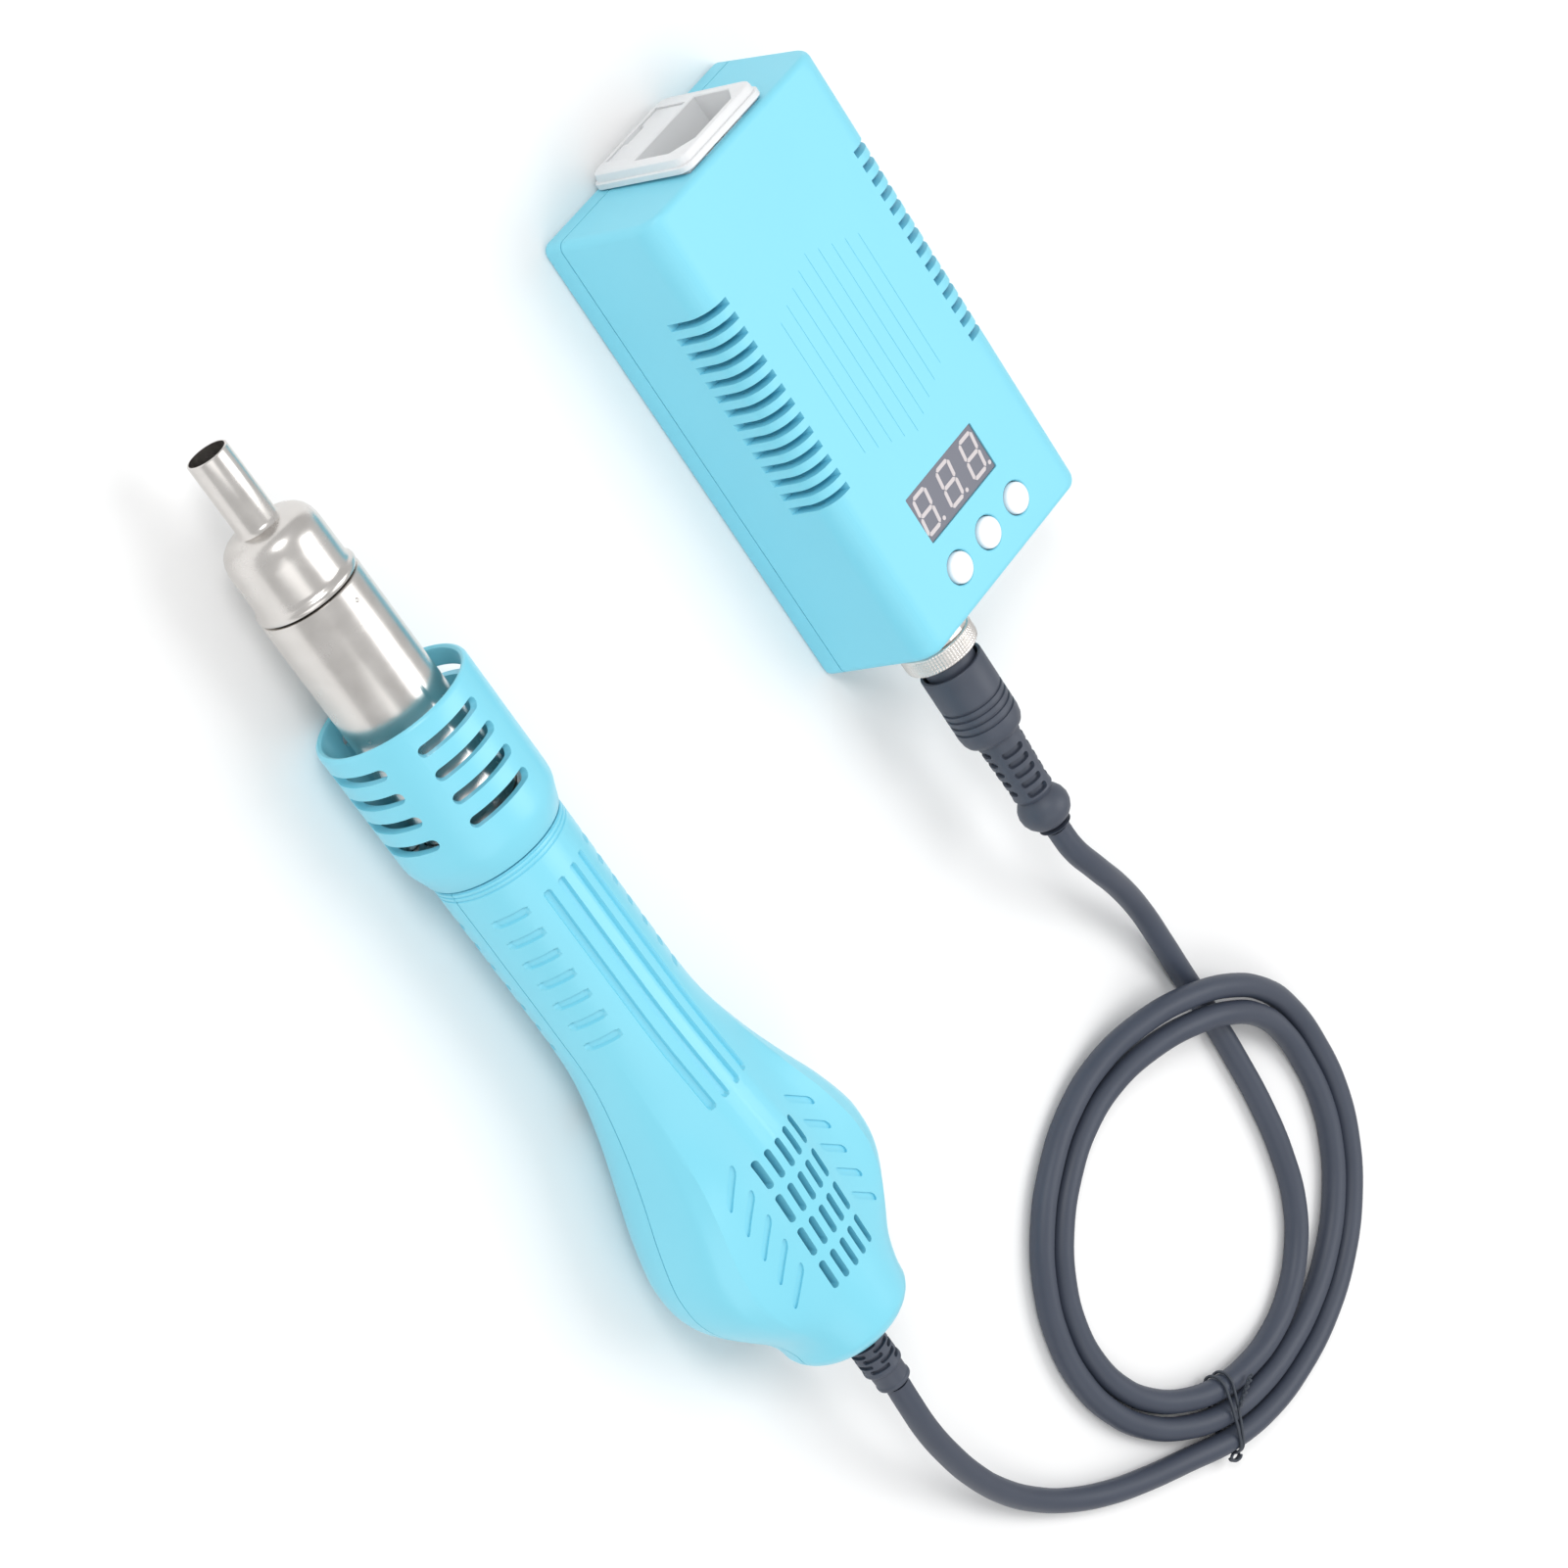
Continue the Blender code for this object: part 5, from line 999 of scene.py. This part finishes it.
def build_display():
    """Three-digit seven-segment display behind the window, every segment unlit."""
    (at_x, at_y), top = WINDOW_AT, BOX[2]
    half_x, half_y = WINDOW[0] / 2 + 1.3, WINDOW[1] / 2 + 1.3
    face = top - 0.38
    body = bmesh.new()
    add_box(body, (at_x - half_x, at_y - half_y, 26.9), (at_x + half_x, at_y + half_y, top - WINDOW_LIP - GAP))
    softened(body, 0.25, 2)
    dress(mesh_object("display_body", body, IN_BOX), DISPLAY_SIDE, ("display_module",))
    plate = bmesh.new()
    half_x, half_y = WINDOW[0] / 2 - 0.12, WINDOW[1] / 2 - 0.12
    outline = rounded_rect((at_x - half_x, at_y - half_y), (at_x + half_x, at_y + half_y), 0.3, 3)
    add_prism(plate, outline, (top - WINDOW_LIP - GAP + 0.02, face - 0.02))
    dress(mesh_object("display_face", plate, IN_BOX), DISPLAY_FACE)
    segments = bmesh.new()
    for digit in (-1, 0, 1):
        add_digit(segments, at_x - 0.05, at_y + 10.15 * digit - 0.2, face)
    dress(mesh_object("display_segments", segments, IN_BOX), SEGMENT)


def add_digit(bm, x, y, face):
    """Seven bars and a point; the digit's top points to -X and it leans to +Y."""
    tall, wide, thick, lean = 9.4, 4.9, 1.0, 0.15
    high, half, gap = tall / 2, wide / 2, 0.13

    def place(right, up):
        return Vector((x - up, y + right + lean * up, 0.0))

    bars = [((-half, high), (half, high)), ((-half, 0), (half, 0)), ((-half, -high), (half, -high))]
    bars += [((s * half, 0), (s * half, high)) for s in (-1, 1)] + [((s * half, -high), (s * half, 0)) for s in (-1, 1)]
    for start, end in bars:
        a, b = Vector(start), Vector(end)
        along = (b - a).normalized()
        across = Vector((-along.y, along.x)) * thick / 2
        a, b = a + along * gap, b - along * gap
        tip = along * thick / 2
        outline = (a, a + tip + across, b - tip + across, b, b - tip - across, a + tip - across)
        rings = [[place(p.x, p.y) + Vector((0, 0, z)) for p in outline] for z in (face - 0.25, face + 0.02)]
        add_loft(bm, rings)
    dot = place(half + 1.55, -high + 0.1)
    add_turned(bm, [(0, 0), (0, 0.55), (0.27, 0.55), (0.27, 0)], 24, place=upright(dot.x, dot.y, face - 0.25))


def socket_outline(grow, x):
    """The inlet's mouth: a rectangle with two corners cut off."""
    half_y, half_z = SOCKET_MOUTH[0] / 2 + grow, SOCKET_MOUTH[1] / 2 + grow
    cut = SOCKET_CHAMFER
    outline = [(-half_y, -half_z), (half_y, -half_z), (half_y, half_z - cut)]
    outline += [(half_y - cut, half_z), (cut - half_y, half_z), (-half_y, half_z - cut)]
    return [Vector((x, BOX[1] / 2 + y, BOX[2] / 2 + SOCKET_RISE + z)) for y, z in outline]


def build_inlet():
    y, z = BOX[1] / 2, BOX[2] / 2
    wide, tall, proud = INLET_FLANGE
    rings = []
    steps = [(-GAP, 0.12, 3.0), (-GAP - 0.12, 0.0, 3.0), (-1.7, 0.0, 3.0), (-1.85, 0.12, 2.9), (-1.9, 0.6, 2.7)]
    edge = ((1.0, 0.72, 2.6), (0.5, 0.85, 2.5), (0.12, 1.25, 2.3), (0.0, 1.7, 2.1))
    steps += [(-proud + back, inset, corner) for back, inset, corner in edge]
    for x, inset, corner in steps:
        low, high = (y - wide / 2 + inset, z - tall / 2 + inset), (y + wide / 2 - inset, z + tall / 2 - inset)
        rings.append([Vector((x, p, q)) for p, q in rounded_rect(low, high, corner, 4)])
    inlet = mesh_object("mains_inlet", lofted(rings), IN_BOX)
    half_y, half_z = INLET_BODY[0] / 2, INLET_BODY[1] / 2
    body = bmesh.new()
    add_box(body, (-1.2, y - half_y, z - half_z), (INLET_DEPTH, y + half_y, z + half_z))
    carve(inlet, body, IN_BOX, "UNION")
    steps = ((-6.0, 0.25), (-proud - 0.01, 0.25), (-proud + 0.25, 0.0), (INLET_DEPTH - 3.0, -0.25))
    mouth = lofted([socket_outline(grow, x) for x, grow in steps])
    carve(inlet, mouth, IN_BOX)
    slots = bmesh.new()
    for dy, dz in PINS:
        low = Vector((INLET_DEPTH - 8, y + dy - 1.3, z + SOCKET_RISE + dz - 2.3))
        add_box(slots, low, low + Vector((10, 2.6, 4.6)))
    carve(inlet, slots, IN_BOX)
    drawer_z = z - INLET_BODY[1] / 2 + 1.2 + DRAWER[1] / 2
    half_w, half_h = DRAWER[0] / 2, DRAWER[1] / 2
    low = (-6.0, y - half_w - RUN, drawer_z - half_h - RUN)
    high = (INLET_DEPTH - 2.0, y + half_w + RUN, drawer_z + half_h + RUN)
    cut_box(inlet, low, high, IN_BOX)
    dress(inlet, INLET_WHITE, ("inlet_body",), sharp=28)

    drawer = bmesh.new()
    add_box(drawer, (-proud + 0.25, y - half_w, drawer_z - half_h), (INLET_DEPTH - 4.0, y + half_w, drawer_z + half_h))
    softened(drawer, 0.3, 3)
    drawer = mesh_object("fuse_tray", drawer, IN_BOX)
    low = (3.0, y - half_w - 2, drawer_z - half_h + 1.4)
    high = (INLET_DEPTH - 5.4, y + half_w - 1.4, drawer_z + half_h + 2)
    cut_box(drawer, low, high, IN_BOX)
    notch = bmesh.new()
    across = Matrix.Translation((-proud + 0.1, y - 3.5, drawer_z - half_h + 0.2))
    across = across @ Matrix.Rotation(math.radians(90), 4, "Z")
    add_turned(notch, [(0, 0), (0, 1.3), (7, 1.3), (7, 0)], 32, place=across)
    carve(drawer, notch, IN_BOX)
    dress(drawer, INLET_WHITE, ("fuse_drawer",), "fuse_drawer", 30)
    for name, (dy, dz) in zip(("inlet_pin_live", "inlet_pin_neutral", "inlet_pin_earth"), PINS):
        pin = bmesh.new()
        low = Vector((1.0, y + dy - 1.0, z + SOCKET_RISE + dz - 2.0))
        add_box(pin, low, low + Vector((INLET_DEPTH + 6, 2.0, 4.0)))
        softened(pin, 0.45, 3)
        dress(mesh_object(name.replace("inlet_pin", "blade"), pin, IN_BOX), NICKEL, (name,))


# ---- connector and cord --------------------------------------------------------------------------


def build_coupling_nut():
    """Nut with a diamond knurl."""
    wall = BOX[0]
    start, end, bore = wall + 1.3 + RUN, wall + 7.0, LINK_R + RUN
    sides, rows = 288, 20
    rings = []
    for k in range(rows + 1):
        x = start + 0.55 + (end - start - 1.1) * k / rows
        ring = []
        for i in range(sides):
            angle = math.tau * i / sides
            crossing = math.cos(angle * KNURLS + k * KNURL_LEAN) * math.cos(angle * KNURLS - k * KNURL_LEAN)
            edge = 0.0 if k in (0, rows) else 1.0
            radius = LINK_NUT_R - 0.22 + 0.2 * crossing * edge
            ring.append(Vector((x, radius * math.cos(angle), radius * math.sin(angle))))
        rings.append(ring)

    def plain(x, radius):
        angles = [math.tau * i / sides for i in range(sides)]
        return [Vector((x, radius * math.cos(a), radius * math.sin(a))) for a in angles]

    lips = [plain(start, bore), plain(start, LINK_NUT_R - 0.75), plain(start + 0.3, LINK_NUT_R - 0.4)]
    tail = [plain(end - 0.3, LINK_NUT_R - 0.45), plain(end, LINK_NUT_R - 0.85), plain(end, PLUG_SHELL_R + RUN)]
    tail += [plain(wall + 6.2, PLUG_SHELL_R + RUN), plain(wall + 6.2, bore)]
    loop = lips + rings + tail
    nut = lofted(loop + [loop[0]], caps=False)
    bmesh.ops.remove_doubles(nut, verts=nut.verts, dist=0.0001)
    dress(mesh_object("knurled_nut", nut, IN_LINK), NICKEL, ("coupling_nut",), "coupling_nut", 50)


def build_plug():
    wall, collar = BOX[0], LINK_R - 0.2
    shell = [(122.2, PLUG_SHELL_R - 0.9), (122.2, PLUG_SHELL_R), (wall + 4.8, PLUG_SHELL_R), (wall + 4.8, collar)]
    shell += [(wall + 5.8, collar), (wall + 5.8, PLUG_SHELL_R), (150.0, PLUG_SHELL_R), (150.0, PLUG_SHELL_R - 0.9)]
    sleeve = mesh_object("plug_sleeve", turned(shell, 72, closed=True), IN_LINK)
    dress(sleeve, BOOT_RUBBER, ("plug_shell",))
    skirt = [(150.5, 0.0), (150.5, PLUG_SHELL_R + GAP), (137.1, PLUG_SHELL_R + 0.7), (136.8, PLUG_SHELL_R + 0.85)]
    skirt += [(136.8, PLUG_R - 0.2), (137.05, PLUG_R)]
    for at in (146.5, 148.4, 150.4, 152.5):
        skirt += [(at - 0.42, PLUG_R), (at - 0.3, PLUG_R - 0.42), (at + 0.3, PLUG_R - 0.42), (at + 0.42, PLUG_R)]
    skirt += [(154.6, PLUG_R), (156.4, PLUG_R - 0.25), (157.5, PLUG_R - 0.75), (158.15, PLUG_R - 1.6)]
    skirt += [(158.3, 6.2), (158.6, 5.75), (160.0, 5.62), (175.0, 5.1), (176.2, 5.25)]
    for k in range(9):
        angle = math.radians(-55 + 13.75 * k * 1.25)
        skirt.append((181.8 + 5.2 * math.sin(angle), 1.3 + 5.3 * math.cos(angle)))
    skirt += [(187.3, 4.2), (PLUG_END, 3.8), (PLUG_END, 0.0)]
    boot = mesh_object("moulded_plug_boot", turned(skirt, 96), IN_LINK)
    cuts = bmesh.new()
    for row in range(5):
        for side in range(4):
            shift = 1.45 if side % 2 else 0.0
            radius = 5.62 - 0.035 * (3.1 * row)
            add_arc_slot(cuts, 161.4 + 3.1 * row + shift - 0.5, 90 * side + 65, radius - 1.1, radius + 0.9, 1.7, 66)
    carve(boot, cuts, IN_LINK)
    dress(boot, BOOT_RUBBER, ("plug_boot",), sharp=40)
    return sleeve, boot


def build_cord():
    route = [IN_BOX @ Vector(point) for point in CORD_ROUTE]
    cord = curve_tube("cord_sheath", [route], CORD_R * MM)
    dress(cord, CORD_SHEATH, ("cord",))


def tie_outline(radius, steps=6):
    """Outline of a strap pulled tight round a row of strands, of which TIE_STRANDS has the outer two."""
    points = []
    for k in range(2):
        before, here, after = (Vector(TIE_STRANDS[(k + step) % 2]) for step in (-1, 0, 1))
        arriving, leaving = here - before, after - here
        start = math.atan2(-arriving.x, arriving.y)
        sweep = (math.atan2(-leaving.x, leaving.y) - start) % math.tau
        for step in range(steps + 1):
            angle = start + sweep * step / steps
            points.append((here.x + radius * math.cos(angle), here.y + radius * math.sin(angle)))
    return points


# The way across the twisted ends, square to the way that they run.
TAIL_SIDE = Vector((0.66, -0.72, 0.0)).cross(Vector((0, 0, 1)))


def build_tie():
    """Twist tie: two turns of thin strip round the three strands, its ends twisted together on top."""
    place = IN_BOX @ Matrix.Translation(TIE_AT) @ Matrix.Rotation(TIE_TURN, 4, "Z")
    loops = []
    for shift, lean in ((-0.9, 0.05), (0.9, -0.07)):
        loops.append([place @ Vector((shift + lean * y, y, z)) for y, z in tie_outline(CORD_R + 0.55)])
    tie = curve_tube("twist_tie", loops, 0.4 * MM, cyclic=True, resolution=3)
    for side in (0.0, math.pi):
        tail = []
        for k in range(25):
            t = k / 24
            angle = math.tau * 2.6 * t + side
            radius = 0.42 + 1.3 * max(0.0, t - 0.82)
            middle = Vector((-0.6 - 6.5 * t, -1.5 - 6.0 * t, 8.7))
            round_it = TAIL_SIDE * radius * math.cos(angle) + Vector((0, 0, radius * math.sin(angle)))
            tail.append(place @ (middle + round_it))
        add_spline(tie.data, tail)
    knot = []
    for k in range(19):
        t = k / 18
        angle = math.tau * 1.5 * t
        knot.append(place @ Vector((1.6 * math.cos(angle), 11.6 + 1.0 * math.sin(angle), 3.6 + 1.2 * t)))
    add_spline(tie.data, knot)
    dress(tie, TIE_PAPER, ("cord_tie",))
    return tie


# ---- pieces whose solids already have the right shape ---------------------------------------------

KEPT = {
    "thermocouple": STEEL, "mica_sleeve": MICA, "heater_core": CERAMIC, "heater_end_disc": CERAMIC,
    "heating_coil": HEATING_WIRE, "fan_housing": DARK_NYLON, "fan_cover": DARK_NYLON, "fan_impeller": DARK_NYLON,
    "fan_motor": COPPER, "fan_bearing": ZINC, "fan_shaft": STEEL, "handle_board": BOARD_GREEN,
    "reed_switch": DISPLAY_SIDE, "fuse": NICKEL, "main_board": BOARD_GREEN, "transformer": MICA,
    "bulk_capacitor": DARK_NYLON, "heat_sink": ALUMINIUM, "triac": DARK_NYLON, "display_board": BOARD_GREEN,
    "tact_switch_1": DARK_NYLON, "tact_switch_2": DARK_NYLON, "tact_switch_3": DARK_NYLON,
    "panel_socket": NICKEL, "panel_nut": NICKEL, "plug_insert": DARK_NYLON,
}  # fmt: skip


def finish_kept_nodes():
    for name, look in KEPT.items():
        data = frame["nodes"][name].data
        data.materials.clear()
        data.materials.append(look)


# ---- stage ---------------------------------------------------------------------------------------

CAMERA_AT = (-428.46, -536.63, 782.33)
CAMERA_TURN = (2.4404, -42.2182, 46.4246)
CAMERA_LENS = 104.56
FLOOR_HALF = 6000
AIMED_AT = Vector((0.05, 0.0, 0.0))


def build_stage():
    scene = bpy.context.scene
    camera = bpy.data.objects.new("camera", bpy.data.cameras.new("camera"))
    scene.collection.objects.link(camera)
    camera.location = Vector(CAMERA_AT) * MM
    camera.rotation_euler = [math.radians(a) for a in CAMERA_TURN]
    camera.data.lens = CAMERA_LENS
    camera.data.sensor_width = 36.0
    camera.data.clip_start, camera.data.clip_end = 0.01, 20.0
    scene.camera = camera

    slab = bmesh.new()
    add_prism(slab, rounded_rect((-FLOOR_HALF, -FLOOR_HALF), (FLOOR_HALF, FLOOR_HALF), 500), (-40, -0.05))
    floor = mesh_object("floor", slab, MILLIMETRES)
    paper = bpy.data.materials.new("pale paper")
    paper.use_nodes = True
    shader = paper.node_tree.nodes["Principled BSDF"]
    shader.inputs["Base Color"].default_value = (0.93, 0.93, 0.93, 1.0)
    shader.inputs["Roughness"].default_value = 0.9
    floor.data.materials.append(paper)

    world = bpy.data.worlds.new("studio")
    world.use_nodes = True
    world.node_tree.nodes["Background"].inputs["Color"].default_value = (1.0, 1.0, 1.0, 1.0)
    world.node_tree.nodes["Background"].inputs["Strength"].default_value = 0.66
    scene.world = world
    for name, at, size, power in (
        ("key", (0.35, 0.75, 1.4), 1.0, 9.0),
        ("fill", (0.9, -1.1, 1.3), 1.4, 6.0),
        ("strip", (-1.1, -0.5, 1.2), 0.5, 8.0),
    ):
        lamp = bpy.data.lights.new(name, "AREA")
        lamp.size, lamp.energy = size, power
        holder = bpy.data.objects.new(name, lamp)
        scene.collection.objects.link(holder)
        holder.location = at
        holder.rotation_euler = (AIMED_AT - Vector(at)).to_track_quat("-Z", "Y").to_euler()
    scene.view_settings.view_transform = "Standard"
    scene.view_settings.look = "None"


def main():
    build_stage()
    sleeve, boot = build_plug()
    build_coupling_nut()
    tie = build_tie()
    build_cord()
    build_handle()
    build_nozzle()
    build_barrel()
    build_guard()
    build_strain_relief()
    build_screws()
    build_case()
    build_buttons()
    build_display()
    build_inlet()
    finish_kept_nodes()


main()
